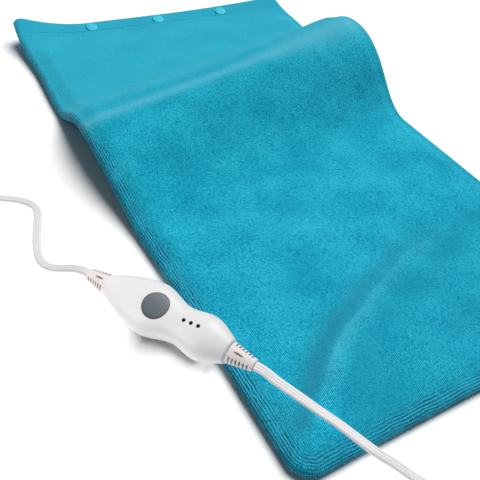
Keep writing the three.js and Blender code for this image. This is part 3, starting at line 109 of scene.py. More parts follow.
# Meshes
def new_piece(name, points, faces, smooth_angle=40):
    """Object at the origin, its points in metres in the frame, smooth except where it bends sharply."""
    mesh = bpy.data.meshes.new(name)
    mesh.from_pydata([tuple(p) for p in points], [], [tuple(int(i) for i in f) for f in faces])
    mesh.validate()
    piece = bpy.data.objects.new(name, mesh)
    scene.collection.objects.link(piece)
    turn_outward(mesh)
    mesh.shade_smooth()
    mesh.set_sharp_from_angle(angle=math.radians(smooth_angle))
    return piece


def turn_outward(mesh):
    """Turns all faces round if the closed mesh is inside out."""
    mesh.calc_loop_triangles()
    corners = np.empty(len(mesh.loop_triangles) * 3, int)
    mesh.loop_triangles.foreach_get("vertices", corners)
    places = np.empty(len(mesh.vertices) * 3)
    mesh.vertices.foreach_get("co", places)
    a, b, c = places.reshape(-1, 3)[corners.reshape(-1, 3)].transpose(1, 0, 2)
    if np.einsum("ij,ij->i", a, np.cross(b, c)).sum() < 0:
        mesh.flip_normals()


def loft_faces(count, sides):
    """Faces of a tube of rings, with a fan round one more point at each end."""
    faces = []
    for k in range(count - 1):
        for i in range(sides):
            a, b = k * sides + i, k * sides + (i + 1) % sides
            faces.append((a, b, b + sides, a + sides))
    first, last = count * sides, count * sides + 1
    top = (count - 1) * sides
    for i in range(sides):
        after = (i + 1) % sides
        faces.append((after, i, first))
        faces.append((top + i, top + after, last))
    return faces


def loft(name, rings, smooth_angle=40):
    rings = np.asarray(rings, float)
    count, sides, _ = rings.shape
    ends = [rings[0].mean(0), rings[-1].mean(0)]
    points = np.vstack([rings.reshape(-1, 3), ends])
    return new_piece(name, points, loft_faces(count, sides), smooth_angle)


def angles_round(sides, start=0.0):
    return FULL_TURN * (np.arange(sides) + start) / sides


def turned_rings(outline, sides=48):
    """Rings about Z from (radius, height) pairs."""
    angles = angles_round(sides)
    around = np.stack([np.cos(angles), np.sin(angles)], 1)
    return np.array([np.column_stack([around * max(r, 1e-4), np.full(sides, z)]) for r, z in outline])


def ring_across(x, y, z):
    """Ring in the plane across X."""
    return np.column_stack([np.full(len(y), x), y, z])


def set_values(piece, name, values):
    attribute = piece.data.attributes.new(name, "FLOAT", "POINT")
    attribute.data.foreach_set("value", np.asarray(values, np.float32))


def apply_modifiers(piece):
    evaluated = piece.evaluated_get(bpy.context.evaluated_depsgraph_get())
    mesh = bpy.data.meshes.new_from_object(evaluated)
    piece.modifiers.clear()
    piece.data = mesh


def carve(piece, tool, operation="DIFFERENCE", smooth_angle=40):
    cut = piece.modifiers.new("carve", "BOOLEAN")
    cut.operation = operation
    cut.solver = "EXACT"
    cut.object = tool
    bpy.context.view_layer.update()
    apply_modifiers(piece)
    bpy.data.objects.remove(tool)
    piece.data.shade_smooth()
    piece.data.set_sharp_from_angle(angle=math.radians(smooth_angle))


def value_noise(x, y, cell, seed):
    """Smooth random field from -1 to 1, with one random height per cell corner."""
    rng = np.random.default_rng(SEED + seed)
    gx, gy = x / cell + NOISE_MARGIN, y / cell + NOISE_MARGIN
    table = rng.uniform(-1, 1, (int(gx.max()) + 3, int(gy.max()) + 3))
    i, j = gx.astype(int), gy.astype(int)
    s, t = ramp(gx - i, 0, 1), ramp(gy - j, 0, 1)
    near = mix(table[i, j], table[i + 1, j], s)
    far = mix(table[i, j + 1], table[i + 1, j + 1], s)
    return mix(near, far, t)


# Controller's own axes: X along the body from the mains end, Z out of the button's side
BODY_PLACE = (-42.5, 186.4, 12.36)
BODY_ROLL, BODY_PITCH, BODY_TURN = 21.7, -2.505, -64.6
BODY_LENGTH = 103.5
body_turn = (
    Matrix.Rotation(math.radians(BODY_TURN), 3, "Z")
    @ Matrix.Rotation(math.radians(BODY_PITCH), 3, "Y")
    @ Matrix.Rotation(math.radians(BODY_ROLL), 3, "X")
)
BODY_AXES = np.array(body_turn)


def in_body(points):
    """From the controller's axes to the pad's."""
    return np.asarray(points, float) @ BODY_AXES.T + np.array(BODY_PLACE)


# Cords. At roll 0 the flat cord lies on its face, and at 90 degrees it stands on its edge. The last four
# pairs say where along a cord its roll changes
CORD_WIDTH, CORD_THICKNESS = 6.6, 3.4
CORD_GROOVE, GROOVE_AT, GROOVE_WIDTH = 0.22, 0.95, 0.3
CORD_GAP, CORD_SAMPLE, CURVE_STEPS = 0.3, 2.5, 40
EDGE_STEPS, FACE_STEPS = 15, 17
RELIEF_LENGTH = 20
PAD_LEAD_THROUGH = [
    (15.6, 60.5, 18.2), (19.8, 51.4, 16.7), (24.2, 41.9, 15.7), (29.6, 28, 15.3), (35, 14.3, 15.2),
    (42, -4.2, 13.8), (46.3, -12.2, 11.8), (51.8, -19.5, 9), (58.9, -30.5, 5.2), (68, -45, 3), (82, -66, 2.1),
    (98, -92, 2), (122, -122, 2), (158, -141, 2), (198, -141, 2), (231, -121, 2), (246, -90, 2.2),
    (245, -60, 3.4),
]
MAINS_LEAD_THROUGH = [
    (-56.6, 217.2, 8.6), (-64.4, 223.8, 5.2), (-73.1, 230.4, 3), (-75.8, 240.2, 2.2), (-73.7, 252.3, 2),
    (-67.7, 271.8, 2.1), (-59.5, 291.2, 3), (-56.6, 298.5, 3.5), (-60.8, 307.3, 3.6), (-69, 316.2, 3.6),
    (-80.5, 322.6, 3.6), (-100, 335, 4),
]
GLAND_AT, GLAND_LENGTH, SEAM_HEIGHT = 243, 26, 5
COIL_CENTRE = np.array([-155.0, 319.0])
COIL_RADIUS, COIL_PITCH, COIL_LAYER, COIL_LOW = 42, 4.0, 7.2, 4.65
COIL_START, COIL_END, COIL_TURNS, COIL_STEPS = math.radians(59), math.radians(180), 8 + 121 / 360, 72
COIL_SPIRAL = (COIL_TURNS - 0.5) / 2
PLUG_TAIL, PLUG_HEIGHT = 50, 7.2
BODY_LEAN, LEAD_LEAN, UPRIGHT = math.radians(BODY_ROLL), math.radians(4), math.pi / 2
PAD_LEVELS, LEAD_LEVELS = (12, 60), (18, 52)
LEAD_STANDS_UP, TAIL_LIES_DOWN = (0.74, 0.98), (0.1, 0.9)


def through(points, sample=CORD_SAMPLE):
    """Even points on the centripetal Catmull-Rom curve through the given ones."""
    p = np.asarray(points, float)
    p = np.vstack([2 * p[0] - p[1], p, 2 * p[-1] - p[-2]])
    t = np.linspace(0, 1, CURVE_STEPS, endpoint=False)[:, None]
    dense = []
    for k in range(1, len(p) - 2):
        a, b, c, d = p[k - 1:k + 3]
        ab, bc, cd = (math.sqrt(np.linalg.norm(q - r)) for q, r in ((b, a), (c, b), (d, c)))
        leave = ((b - a) / ab - (c - a) / (ab + bc) + (c - b) / bc) * bc
        reach = ((c - b) / bc - (d - b) / (bc + cd) + (d - c) / cd) * bc
        rest = 1 - t
        dense.append(b * (1 + 2 * t) * rest**2 + leave * t * rest**2
                     + c * t**2 * (3 - 2 * t) - reach * t**2 * rest)
    return resampled(np.vstack(dense + [p[-2:-1]]), sample)


def steps_of(line):
    return np.linalg.norm(np.diff(line, axis=0), axis=1)


def resampled(line, sample=CORD_SAMPLE):
    along = running_sum(steps_of(line))
    at = np.linspace(0, along[-1], max(2, round(along[-1] / sample) + 1))
    return np.column_stack([np.interp(at, along, line[:, k]) for k in range(3)])


def eased(line, rounds=14):
    """The line with its tight bends opened a little, its ends kept."""
    line = line.copy()
    for _ in range(rounds):
        line[2:-2] = 0.5 * line[2:-2] + 0.25 * (line[1:-3] + line[3:-1])
    return line


def ribbon_section():
    """Section of the flat cord, grooved twice on each face, and how deep in a groove each point is."""
    core = CORD_THICKNESS / 2
    reach = CORD_WIDTH / 2 - core
    edge = np.radians(np.linspace(-90, 90, EDGE_STEPS))
    right = np.column_stack([reach + core * np.cos(edge), core * np.sin(edge)])
    face = np.linspace(reach, -reach, FACE_STEPS)[1:-1]
    dip = np.exp(-((np.abs(face) - GROOVE_AT) / GROOVE_WIDTH) ** 2)
    upper = np.column_stack([face, core - CORD_GROOVE * dip])
    points = np.vstack([right, upper, -right, -upper])
    deep = np.concatenate([np.zeros(len(right)), dip, np.zeros(len(right)), dip])
    return points, deep


def cord_tube(name, line, rolls):
    """Flat cord along the line, rolled about it."""
    section, deep = ribbon_section()
    tangent = unit(np.gradient(line, axis=0))
    side = unit(np.cross([0, 0, 1], tangent))
    over = np.cross(tangent, side)
    cosine, sine = np.cos(rolls)[:, None], np.sin(rolls)[:, None]
    wide = side * cosine + over * sine
    thick = np.cross(tangent, wide)
    rings = line[:, None] + section[None, :, :1] * wide[:, None] + section[None, :, 1:] * thick[:, None]
    tube = loft(name, placed(rings), smooth_angle=60)
    # The groove depth also mixes painted shade into the sheath
    set_values(tube, "groove", np.concatenate([np.tile(deep, len(line)), [0, 0]]))
    return tube


body_axis = BODY_AXES[:, 0]
pad_exit = in_body((BODY_LENGTH + RELIEF_LENGTH + CORD_GAP, 0, 0))
mains_exit = in_body((-RELIEF_LENGTH - CORD_GAP, 0, 0))
gland_end = np.array([GLAND_AT, -GLAND_LENGTH - CORD_GAP, SEAM_HEIGHT])
pad_line = through([pad_exit, pad_exit + body_axis * CORD_WIDTH, *PAD_LEAD_THROUGH,
                    gland_end - np.array([0, CORD_WIDTH, 0]), gland_end])
pad_along = CORD_SAMPLE * np.arange(len(pad_line))
pad_cord = cord_tube("pad_cord", pad_line, BODY_LEAN * (1 - ramp(pad_along, *PAD_LEVELS)))

coil_turns = np.linspace(0, COIL_TURNS, round(COIL_TURNS * COIL_STEPS))
coil_angle = COIL_START + FULL_TURN * coil_turns
coil_inward = np.minimum(np.minimum(coil_turns, COIL_SPIRAL), COIL_TURNS - coil_turns)
coil_radius = COIL_RADIUS - COIL_PITCH * coil_inward
coil_line = np.column_stack([
    COIL_CENTRE[0] + coil_radius * np.cos(coil_angle),
    COIL_CENTRE[1] + coil_radius * np.sin(coil_angle),
    COIL_LOW + COIL_LAYER * ramp(coil_turns, COIL_SPIRAL, COIL_SPIRAL + 0.5),
])
coil_in = np.array([-math.sin(COIL_START), math.cos(COIL_START), 0])
coil_out = np.array([-math.sin(COIL_END), math.cos(COIL_END), 0])
coil_first = coil_line[0] - coil_in * (CORD_WIDTH + CORD_GAP)
tail_start = coil_line[-1] + coil_out * (CORD_WIDTH + CORD_GAP)
plug_in = tail_start + coil_out * PLUG_TAIL
plug_in[2] = PLUG_HEIGHT
lead_line = eased(through([mains_exit, mains_exit - body_axis * CORD_WIDTH, *MAINS_LEAD_THROUGH,
                           coil_first - coil_in * CORD_WIDTH, coil_first]))
tail_line = through([tail_start, tail_start + coil_out * CORD_WIDTH,
                     plug_in - coil_out * CORD_WIDTH, plug_in])
lead_along = CORD_SAMPLE * np.arange(len(lead_line))
lead_rise = UPRIGHT * ramp(lead_along / lead_along[-1], *LEAD_STANDS_UP)
lead_roll = lead_rise - LEAD_LEAN * (1 - ramp(lead_along, *LEAD_LEVELS))
tail_roll = UPRIGHT * (1 - ramp(np.linspace(0, 1, len(tail_line)), *TAIL_LIES_DOWN))
mains_line = np.vstack([lead_line, coil_line, tail_line])
mains_roll = np.concatenate([lead_roll, np.full(len(coil_line), UPRIGHT), tail_roll])
mains_cord = cord_tube("mains_cord", mains_line, mains_roll)


# Materials. Scales are per metre, and each noise has its scale and its detail
CLOTH = srgb(10, 162, 190)
CLOTH_LIGHT = srgb(56, 190, 214)
CLOTH_DARK = srgb(2, 124, 158)
CLOTH_GROOVE_SHADE = srgb(2, 66, 94)
CLOTH_FOLD_SHADE = srgb(34, 126, 152)
CLOTH_HIGHLIGHT = srgb(112, 196, 218)
CLOTH_HEM = srgb(10, 148, 178)
CLOTH_DARKENED = srgb(0, 128, 158)
CLOTH_SHEEN = srgb(200, 225, 232)
LOOP_SCALE, FINE, TUFT, CLOUD = 700.0, (800.0, 2.0), (190.0, 2.0), (26.0, 1.5)
PILE_MIDDLES, PILE_WEIGHTS = (0.5, 0.48, 0.5, 0.5), (0.9, -0.6, 0.18, 0.6)
PILE_STOPS = ((0.1, CLOTH_DARK), (0.5, CLOTH), (0.9, CLOTH_LIGHT))
WALE_PITCH, WALE_WANDER, WALE_BUMP, WALE_SHARES = 0.0013, 5.0, 0.1, [(0.04, 0.3), (0.26, 0.06)]
# The border rows get painted shade in their grooves and a painted highlight on their ridges
ROW_FUZZ, ROW_HIGHLIGHT, ROW_SHADE = 0.5, 0.2, 0.1
# Shares across the first fold, by distance from its line: painted shade on its shaded side, then a painted
# highlight on its lit side
FOLD_SHADE_ACROSS = [(-18, 0), (9, 0), (-9, 0.28), (-4, 0.7), (0, 0.8), (3, 0.55), (5, 0.45), (6.4, 0.1)]
FOLD_HIGHLIGHT_ACROSS = [(4.4, 0), (20, 0), (6.6, 0.2), (11, 0.13)]
MOTTLE_SCALE, PALEST, ROUGH_SPREAD = 60.0, 0.96, 0.12
PILE_BUMP, GRAIN_BUMP = (0.5, 0.0006), (0.15, 0.0001)


def set_inputs(tree, node, inputs):
    """Links or sets each named input of the node."""
    for key, value in inputs.items():
        if isinstance(value, bpy.types.NodeSocket):
            tree.links.new(value, node.inputs[key])
        else:
            node.inputs[key].default_value = value


def add_node(tree, kind, inputs=None, **settings):
    made = tree.nodes.new(kind)
    for key, value in settings.items():
        setattr(made, key, value)
    set_inputs(tree, made, inputs or {})
    return made


def maths(tree, operation, first, second=0.0):
    return add_node(tree, "ShaderNodeMath", {0: first, 1: second}, operation=operation).outputs[0]


def blend_colour(tree, share, first, second):
    return add_node(tree, "ShaderNodeMix", {0: share, 6: first, 7: second}, data_type="RGBA").outputs[2]


def noise(tree, place, scale, detail=2.0):
    inputs = {"Vector": place, "Scale": scale, "Detail": detail}
    return add_node(tree, "ShaderNodeTexNoise", inputs).outputs[0]


def bump(tree, height, strength, distance):
    inputs = {"Height": height, "Strength": strength, "Distance": distance}
    return add_node(tree, "ShaderNodeBump", inputs).outputs[0]


def own_value(tree, name):
    return add_node(tree, "ShaderNodeAttribute", attribute_name=name).outputs["Fac"]


def own_place(tree):
    return add_node(tree, "ShaderNodeTexCoord").outputs["Object"]


def new_material(name):
    made = bpy.data.materials.new(name)
    made.use_nodes = True
    return made, made.node_tree, made.node_tree.nodes["Principled BSDF"]


def moulded(name, colour, roughness, mottle=0.06, grain=900, metallic=0.0, specular=0.5,
            dark=None, groove=None):
    """Moulded surface with a faint mottle and grain; dark is painted shade, mixed in where the attribute
    named by groove says.
    """
    made, tree, shader = new_material(name)
    place = own_place(tree)
    fine = noise(tree, place, float(grain))
    share = maths(tree, "MULTIPLY", maths(tree, "ADD", noise(tree, place, MOTTLE_SCALE), fine), 0.5)
    low = tuple(c * (1 - mottle) for c in colour[:3]) + (1.0,)
    high = tuple(min(c * (1 + mottle), PALEST) for c in colour[:3]) + (1.0,)
    shade = blend_colour(tree, share, low, high)
    if groove:
        shade = blend_colour(tree, own_value(tree, groove), shade, dark)
    rough = maths(tree, "ADD", maths(tree, "MULTIPLY", fine, ROUGH_SPREAD), roughness - ROUGH_SPREAD / 2)
    set_inputs(tree, shader, {
        "Base Color": shade, "Roughness": rough, "Normal": bump(tree, fine, *GRAIN_BUMP),
        "Metallic": metallic, "Specular IOR Level": specular,
    })
    return made


def share_at(tree, value, stops):
    """Share that follows the stops, each a place and the share there; the first two stops are the ends."""
    low, high = stops[0][0], stops[1][0]
    place = add_node(tree, "ShaderNodeMapRange", {"Value": value, "From Min": low, "From Max": high})
    made = add_node(tree, "ShaderNodeValToRGB", {"Fac": place.outputs[0]})
    points = made.color_ramp.elements
    for k, (at, share) in enumerate(stops):
        point = points[k] if k < 2 else points.new((at - low) / (high - low))
        point.color = (share, share, share, 1.0)
    return made.outputs[0]


def plush():
    """Short looped pile with wales and mottle, painted shade and highlight on the border rows and the first
    fold, darker places along the valley beside it, a painted highlight along the crest, and a darker hem.
    """
    made, tree, shader = new_material("plush")
    plus, minus, times, higher = (
        partial(maths, tree, kind) for kind in ("ADD", "SUBTRACT", "MULTIPLY", "MAXIMUM")
    )
    own = partial(own_value, tree)
    cloth = add_node(tree, "ShaderNodeUVMap", uv_map="cloth").outputs[0]
    across, along, _ = add_node(tree, "ShaderNodeSeparateXYZ", {"Vector": cloth}).outputs
    cells = add_node(tree, "ShaderNodeTexVoronoi", {"Vector": cloth, "Scale": LOOP_SCALE}, feature="F1")
    loops = cells.outputs["Distance"]
    fine, tuft, cloud = (noise(tree, cloth, *sizes) for sizes in (FINE, TUFT, CLOUD))
    wale = maths(tree, "SINE", plus(times(across, FULL_TURN / WALE_PITCH), times(tuft, WALE_WANDER)))
    value = times(wale, share_at(tree, along, WALE_SHARES))
    for part, middle, weight in zip((fine, loops, tuft, cloud), PILE_MIDDLES, PILE_WEIGHTS):
        value = plus(value, times(minus(part, middle), weight))
    share = plus(times(value, minus(1.0, own("calm"))), 0.5)
    pile = add_node(tree, "ShaderNodeValToRGB", {"Fac": share})
    pile.color_ramp.elements.new(0.5)
    for stop, (place, colour) in zip(pile.color_ramp.elements, PILE_STOPS):
        stop.position, stop.color = place, colour

    from_fold, rows = own("from_fold"), own("groove")
    fuzz = times(minus(fine, 0.5), ROW_FUZZ)
    wave = maths(tree, "COSINE", times(plus(own("row"), fuzz), FULL_TURN))
    # Painted light and shade over the pile: shade and highlight on the sides of the first fold, darker
    # places, a highlight along the crest, the hem's darker band, and a highlight on the rows' ridges with
    # shade in their grooves
    layers = (
        (times(share_at(tree, from_fold, FOLD_SHADE_ACROSS), own("fold_shade")), CLOTH_FOLD_SHADE),
        (times(share_at(tree, from_fold, FOLD_HIGHLIGHT_ACROSS), own("raised")), CLOTH_HIGHLIGHT),
        (own("darkened"), CLOTH_DARKENED),
        (own("crest"), CLOTH_HIGHLIGHT),
        (own("hem"), CLOTH_HEM),
        (times(higher(times(wave, -ROW_HIGHLIGHT), 0.0), rows), CLOTH_HIGHLIGHT),
        (times(plus(higher(wave, 0.0), ROW_SHADE), rows), CLOTH_GROOVE_SHADE),
    )
    shade = pile.outputs[0]
    for share, colour in layers:
        shade = blend_colour(tree, share, shade, colour)
    height = plus(minus(fine, loops), times(wale, WALE_BUMP))
    set_inputs(tree, shader, {
        "Base Color": shade, "Normal": bump(tree, height, *PILE_BUMP), "Roughness": 0.95,
        "Specular IOR Level": 0.15, "Sheen Weight": 0.1, "Sheen Roughness": 0.45, "Sheen Tint": CLOTH_SHEEN,
    })
    return made


plush_cloth = plush()
case_plastic = moulded("case_plastic", srgb(240, 238, 239), 0.38, 0.015)
# The relief's slots and slit get painted shade
relief_plastic = moulded("relief_plastic", srgb(236, 229, 227), 0.5, 0.02,
                         dark=srgb(120, 106, 104), groove="slot")
# The cord's grooves get painted shade
cord_sheath = moulded("cord_sheath", srgb(238, 236, 238), 0.45, 0.02, grain=200,
                      dark=srgb(212, 206, 210), groove="groove")
button_plastic = moulded("button_plastic", srgb(95, 105, 112), 0.5, 0.1, grain=1400)
lens_plastic = moulded("lens_plastic", srgb(10, 10, 11), 0.35, 0.2, specular=0.1)
snap_plastic = moulded("snap_plastic", srgb(14, 190, 214), 0.5, 0.05, specular=0.2)
felt_cloth = moulded("felt_cloth", srgb(232, 230, 222), 0.95, 0.1, grain=500)
board_laminate = moulded("board_laminate", srgb(44, 107, 63), 0.45, 0.1)
black_moulding = moulded("black_moulding", srgb(34, 34, 34), 0.5, 0.15)
red_dip = moulded("red_dip", srgb(178, 80, 47), 0.35, 0.1)
wire_white = moulded("wire_white", srgb(232, 230, 228), 0.5, 0.03)
wire_red = moulded("wire_red", srgb(178, 80, 47), 0.6, 0.1)
lamp_clear = moulded("lamp_clear", srgb(236, 234, 226), 0.2, 0.03)
plated_steel = moulded("plated_steel", srgb(185, 188, 192), 0.32, 0.1, metallic=1.0)
bright_brass = moulded("bright_brass", srgb(201, 164, 92), 0.28, 0.1, metallic=1.0)
thread = moulded("thread", srgb(34, 166, 194), 0.8, 0.1, specular=0.2)


def dress(piece, material, body="pad", stands_for=()):
    piece.data.materials.clear()
    piece.data.materials.append(material)
    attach(piece, body)
    if stands_for:
        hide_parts(*stands_for)
    return piece


def repaint(material, *names):
    for name in names:
        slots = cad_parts[name].data.materials
        for k in range(len(slots)):
            slots[k] = material


dress(pad_cord, cord_sheath, stands_for=["pad_lead"])
dress(mains_cord, cord_sheath, stands_for=["mains_lead", "mains_coil", "mains_tail"])

# Pad surface: u across from the left edge and v along from the near edge on the flat cloth, and n above the
# underside. The fold's pairs are for the left and the right edge, and a curl has its height and its reach
PAD_WIDTH, PAD_LENGTH = 305, 587
CORNER_RADIUS, FAR_CORNER_RADIUS, CORNER_PULL, PULL_REACH = 17.5, 9, 5.3, 220
EDGE_THICKNESS, PAD_THICKNESS, CROWN_REACH = 10, 13, 20
HEM_WIDTH, HEM_TAPER, HEM_THICKNESS, HEM_RAISE = 28, 45, 7, 1.7
HEM_TOP = HEM_RAISE + HEM_THICKNESS
FOLD_HEIGHTS, FOLD_BOW, STEEPEST = (24.6, 57.9), 1.36, 0.9
FOLD_CREST, FOLD_NEAR, FOLD_FAR = (351.3, 390.8), (135.6, 113.2), (80.8, 123.6)
CURL_LENGTH, CURL_LEFT, CURL_RIGHT = 90, (21.2, 75), (6.5, 155)
FAR_LEFT_PULL, FAR_LEFT_REACH, FAR_LEFT_RISE = 7, 70, (PAD_LENGTH - 110, PAD_LENGTH - 8)
FAR_RIGHT_LIFT, FAR_RIGHT_START, FAR_RIGHT_RISE, FAR_RIGHT_FALL = 4, 200, (30, 85), (510, 570)


def crest_at(u):
    return mix(*FOLD_CREST, u / PAD_WIDTH)


def fold_height(u, v):
    across = u / PAD_WIDTH
    height = mix(*FOLD_HEIGHTS, np.clip(across, 0, 1) ** FOLD_BOW)
    crest = crest_at(u)
    reach = np.where(v < crest, mix(*FOLD_NEAR, across), mix(*FOLD_FAR, across))
    fold = height * (1 + np.cos(np.pi * np.clip((v - crest) / reach, -1, 1))) / 2
    end = np.clip((v - PAD_LENGTH + CURL_LENGTH) / CURL_LENGTH, 0, 1) ** 2
    left = CURL_LEFT[0] * falling(u, CURL_LEFT[1]) ** 2
    right = CURL_RIGHT[0] * falling(PAD_WIDTH - u, CURL_RIGHT[1]) ** 2
    return fold + end * (left + right)


def spine():
    """Where the pad's middle line goes, and how far the far part has swung round."""
    middle = np.arange(PAD_LENGTH) + 0.5

    def advance(u):
        climb = fold_height(u, middle + 0.5) - fold_height(u, middle - 0.5)
        return np.sqrt(1 - np.minimum(climb**2, STEEPEST))

    swing = running_sum((advance(0.0) - advance(float(PAD_WIDTH))) / PAD_WIDTH)
    step = advance(PAD_WIDTH / 2)
    x = PAD_WIDTH / 2 + running_sum(step * np.sin(swing[:-1]))
    y = running_sum(step * np.cos(swing[:-1]))
    return x, y, swing


SPINE_X, SPINE_Y, SPINE_TURN = spine()
SPINE_AT = np.arange(PAD_LENGTH + 1)


def far_left_pull(u, v):
    """How far the far left corner leans outwards."""
    return FAR_LEFT_PULL * falling(u, FAR_LEFT_REACH) ** 2 * ramp(v, *FAR_LEFT_RISE)


def far_right_lift(u, v):
    """Extra fullness of the top where the fold comes down at the right edge on its far side."""
    rise = ramp(v - crest_at(u), *FAR_RIGHT_RISE) * (1 - ramp(v, *FAR_RIGHT_FALL))
    return FAR_RIGHT_LIFT * ramp(u, FAR_RIGHT_START, PAD_WIDTH) * rise


def corner_pull(u, v):
    """How far the near left corner is pulled outwards."""
    return CORNER_PULL * (falling(u, PULL_REACH) * falling(v, PULL_REACH)) ** 2


def underside(u, v):
    turn_at = np.interp(v, SPINE_AT, SPINE_TURN)
    side = u - PAD_WIDTH / 2
    pull = corner_pull(u, v)
    x = np.interp(v, SPINE_AT, SPINE_X) + side * np.cos(turn_at) - pull - far_left_pull(u, v)
    y = np.interp(v, SPINE_AT, SPINE_Y) - side * np.sin(turn_at) - pull
    return np.stack([x, y, fold_height(u, v)], -1)


def pad_axes(u, v):
    """Unit directions across, along and out of the cloth."""
    inside = np.clip(v, 0.5, PAD_LENGTH - 0.5)
    across = unit(underside(u + 0.5, inside) - underside(u - 0.5, inside))
    along = underside(u, inside + 0.5) - underside(u, inside - 0.5)
    out = unit(np.cross(across, along))
    return across, np.cross(out, across), out


def pad_point(u, v, n):
    out = pad_axes(u, v)[2]
    return underside(u, v) + out * np.asarray(n)[..., None]


def hem_share(v):
    return ramp(v, PAD_LENGTH - HEM_WIDTH - HEM_TAPER, PAD_LENGTH - HEM_WIDTH)


def rounded(u, v):
    """Rounds the corners of the flat outline."""
    side = np.minimum(u, PAD_WIDTH - u)
    end = np.minimum(v, PAD_LENGTH - v)
    reach = np.where(v < PAD_LENGTH / 2, CORNER_RADIUS, FAR_CORNER_RADIUS)
    a, b = reach - side, reach - end
    corner = (a > 0) & (b > 0)
    radius = np.maximum(np.maximum(a, b), 1e-9)
    share = np.where(a >= b, b, a) / radius
    angle = np.where(a >= b, np.pi / 4 * share, np.pi / 2 - np.pi / 4 * share)
    new_side = np.where(corner, reach - radius * np.cos(angle), side)
    new_end = np.where(corner, reach - radius * np.sin(angle), end)
    return (np.where(u < PAD_WIDTH / 2, new_side, PAD_WIDTH - new_side),
            np.where(v < PAD_LENGTH / 2, new_end, PAD_LENGTH - new_end))


# Border rows, soft folds and pile of the cover. A soft fold has its line, how far beside that line it runs,
# its height and the widths of its two sides. Ends are shares of a line's length. Pairs of shares or widths
# are mixed, and the other pairs are places to fade between. An uneven field ends with its cell and its seed
ROW_PITCH, ROW_FIRST, ROW_DEPTH, ROWS_FADE = 2.0, 2.6, 0.7, (2.5, 7)
ROW_WANDER, ROW_PATCHES = ((0.5, 12.0, 20), (0.5, 5.0, 30)), (0.8, 0.4, 7.0, 40)
ROW_PLAIN, PLAIN_RIGHT, PLAIN_NEAR = 0.85, (PAD_WIDTH - 60, PAD_WIDTH - 25), (60, 140)
PLAIN_FAR, FAR_ROWS, PLAIN_HEM = (320, 370), (1.2, 3), (PAD_LENGTH - 60, PAD_LENGTH - 25)
BORDER, RIM_STEPS, BORDER_CELL, CLOTH_CELL = 18, 10, 0.5, 3.0
# Line of the first fold, which gets painted shade on one side and a painted highlight on the other
FIRST_FOLD = [
    (240, 146), (217, 138), (198, 131), (173, 126), (143, 113), (121, 103), (100, 91), (83, 84), (69, 75),
    (56, 64), (44, 53), (31, 42), (21, 30), (16, 20),
]
# Line of the valley between the first and the second fold, along which shade is painted
VALLEY_LINE = [
    (282, 146), (259, 133), (234, 124), (199, 108), (169, 97), (141, 86), (123, 78), (105, 68), (83, 55),
    (69, 44),
]
SECOND_FOLD = [(300, 128), (262, 112), (226, 98), (196, 85), (168, 74), (140, 62), (112, 46), (92, 32)]
SOFT_FOLDS = [
    (FIRST_FOLD, 6, 2.4, 12, 8),
    (SECOND_FOLD, 0, 3.0, 12, 22),
    ([(60, 190), (110, 176), (150, 160), (190, 152)], 0, 1.5, 10, 14),
    ([(30, 140), (70, 132), (110, 120), (140, 116)], 0, 1.3, 9, 12),
    ([(120, 230), (170, 214), (215, 196), (250, 190)], 0, 1.5, 12, 16),
    ([(170, 50), (215, 60), (255, 76)], 0, 1.4, 10, 14),
    ([(252, 268), (281, 283), (301, 292)], 0, 1.0, 5, 6),
    ([(262, 243), (288, 262), (303, 272)], 0, 1.0, 5, 7),
    ([(250, 300), (280, 313), (301, 322)], 0, 0.8, 5, 6),
]
SOFT_FOLD_ENDS, DEEPEST_DENT = (0.22, 0.72), -0.7
SMALL_PILE, SLANT_PILE = (0.22, 9.0, 1), ((0.6, 0.45, 26.0, 2), (0.35, 0.5, 15.0, 3))
SLANT_COSINE, SLANT_SINE = 0.8, 0.6
FREE_FROM_EDGE, HEM_CALM, UNDER_ROWS, UNDER_EDGE = (4, 26), 0.8, 0.5, (0, 2)
FLAT_LENGTH, FLOOR_GAP, SEAM_LIFT = 205, 0.05, 0.7
# Where the painted shade and highlight of the first fold fade in and out along it
FOLD_SHADE_ENDS, FOLD_SHADE_SHARES, FOLD_SHADE_RISE = (0.2, 0.93), (0.4, 0.9), (0.2, 0.6)
FOLD_HIGHLIGHT_FALL, FOLD_REACH = (0.66, 0.86), 40
# Painted shade along the valley, a darker near right corner, and painted shade in a band beside the first
# fold
VALLEY_SHADE_SHARE, VALLEY_SHADE_WIDTH, VALLEY_SHADE_ENDS = 0.42, 10, (0.1, 0.85)
VALLEY_SHADE_PATCHES = (0.75, 0.35, 12.0, 60)
CORNER_SHARE, CORNER_ACROSS, CORNER_ALONG = 0.22, (60, 200), (60, 150)
BESIDE_SHARE, BESIDE_FROM, BESIDE_TO, BESIDE_ALONG = 0.4, (12, 24), (45, 80), (0.5, 0.75)
# Painted highlight along the crest, and a painted sheen that pales the cloth beyond it
CREST_HIGHLIGHT_SHARE, CREST_WIDTHS, CREST_WIDENS = 0.4, (5, 14), (150, 290)
BEYOND_SHEEN_SHARE, BEYOND_REACH = 0.1, 30
PLACKET_SHARE, PLACKET_EDGE = 0.2, (PAD_LENGTH - 24, PAD_LENGTH - 20)
CALM_SHARE, CALM_RISE = 0.62, (-25, 15)


def cloth_lines(length):
    half = EDGE_THICKNESS / 2
    rim = half * (1 - np.cos(quarter(RIM_STEPS + 1)))
    border = np.linspace(half, BORDER, round((BORDER - half) / BORDER_CELL) + 1)[1:]
    low = np.concatenate([rim, border])
    middle = np.linspace(BORDER, length - BORDER, round((length - 2 * BORDER) / CLOTH_CELL) + 1)[1:-1]
    return np.concatenate([low, middle, length - low[::-1]])


def arc_from_edge(from_edge, half):
    """Distance from the edge along the rounded cloth."""
    bend = half * np.arccos(np.clip(1 - from_edge / half, -1, 1))
    return np.where(from_edge < half, bend, half * np.pi / 2 + from_edge - half)


def patchy(u, v, even, uneven, cell, seed):
    return even + uneven * value_noise(u, v, cell, seed)


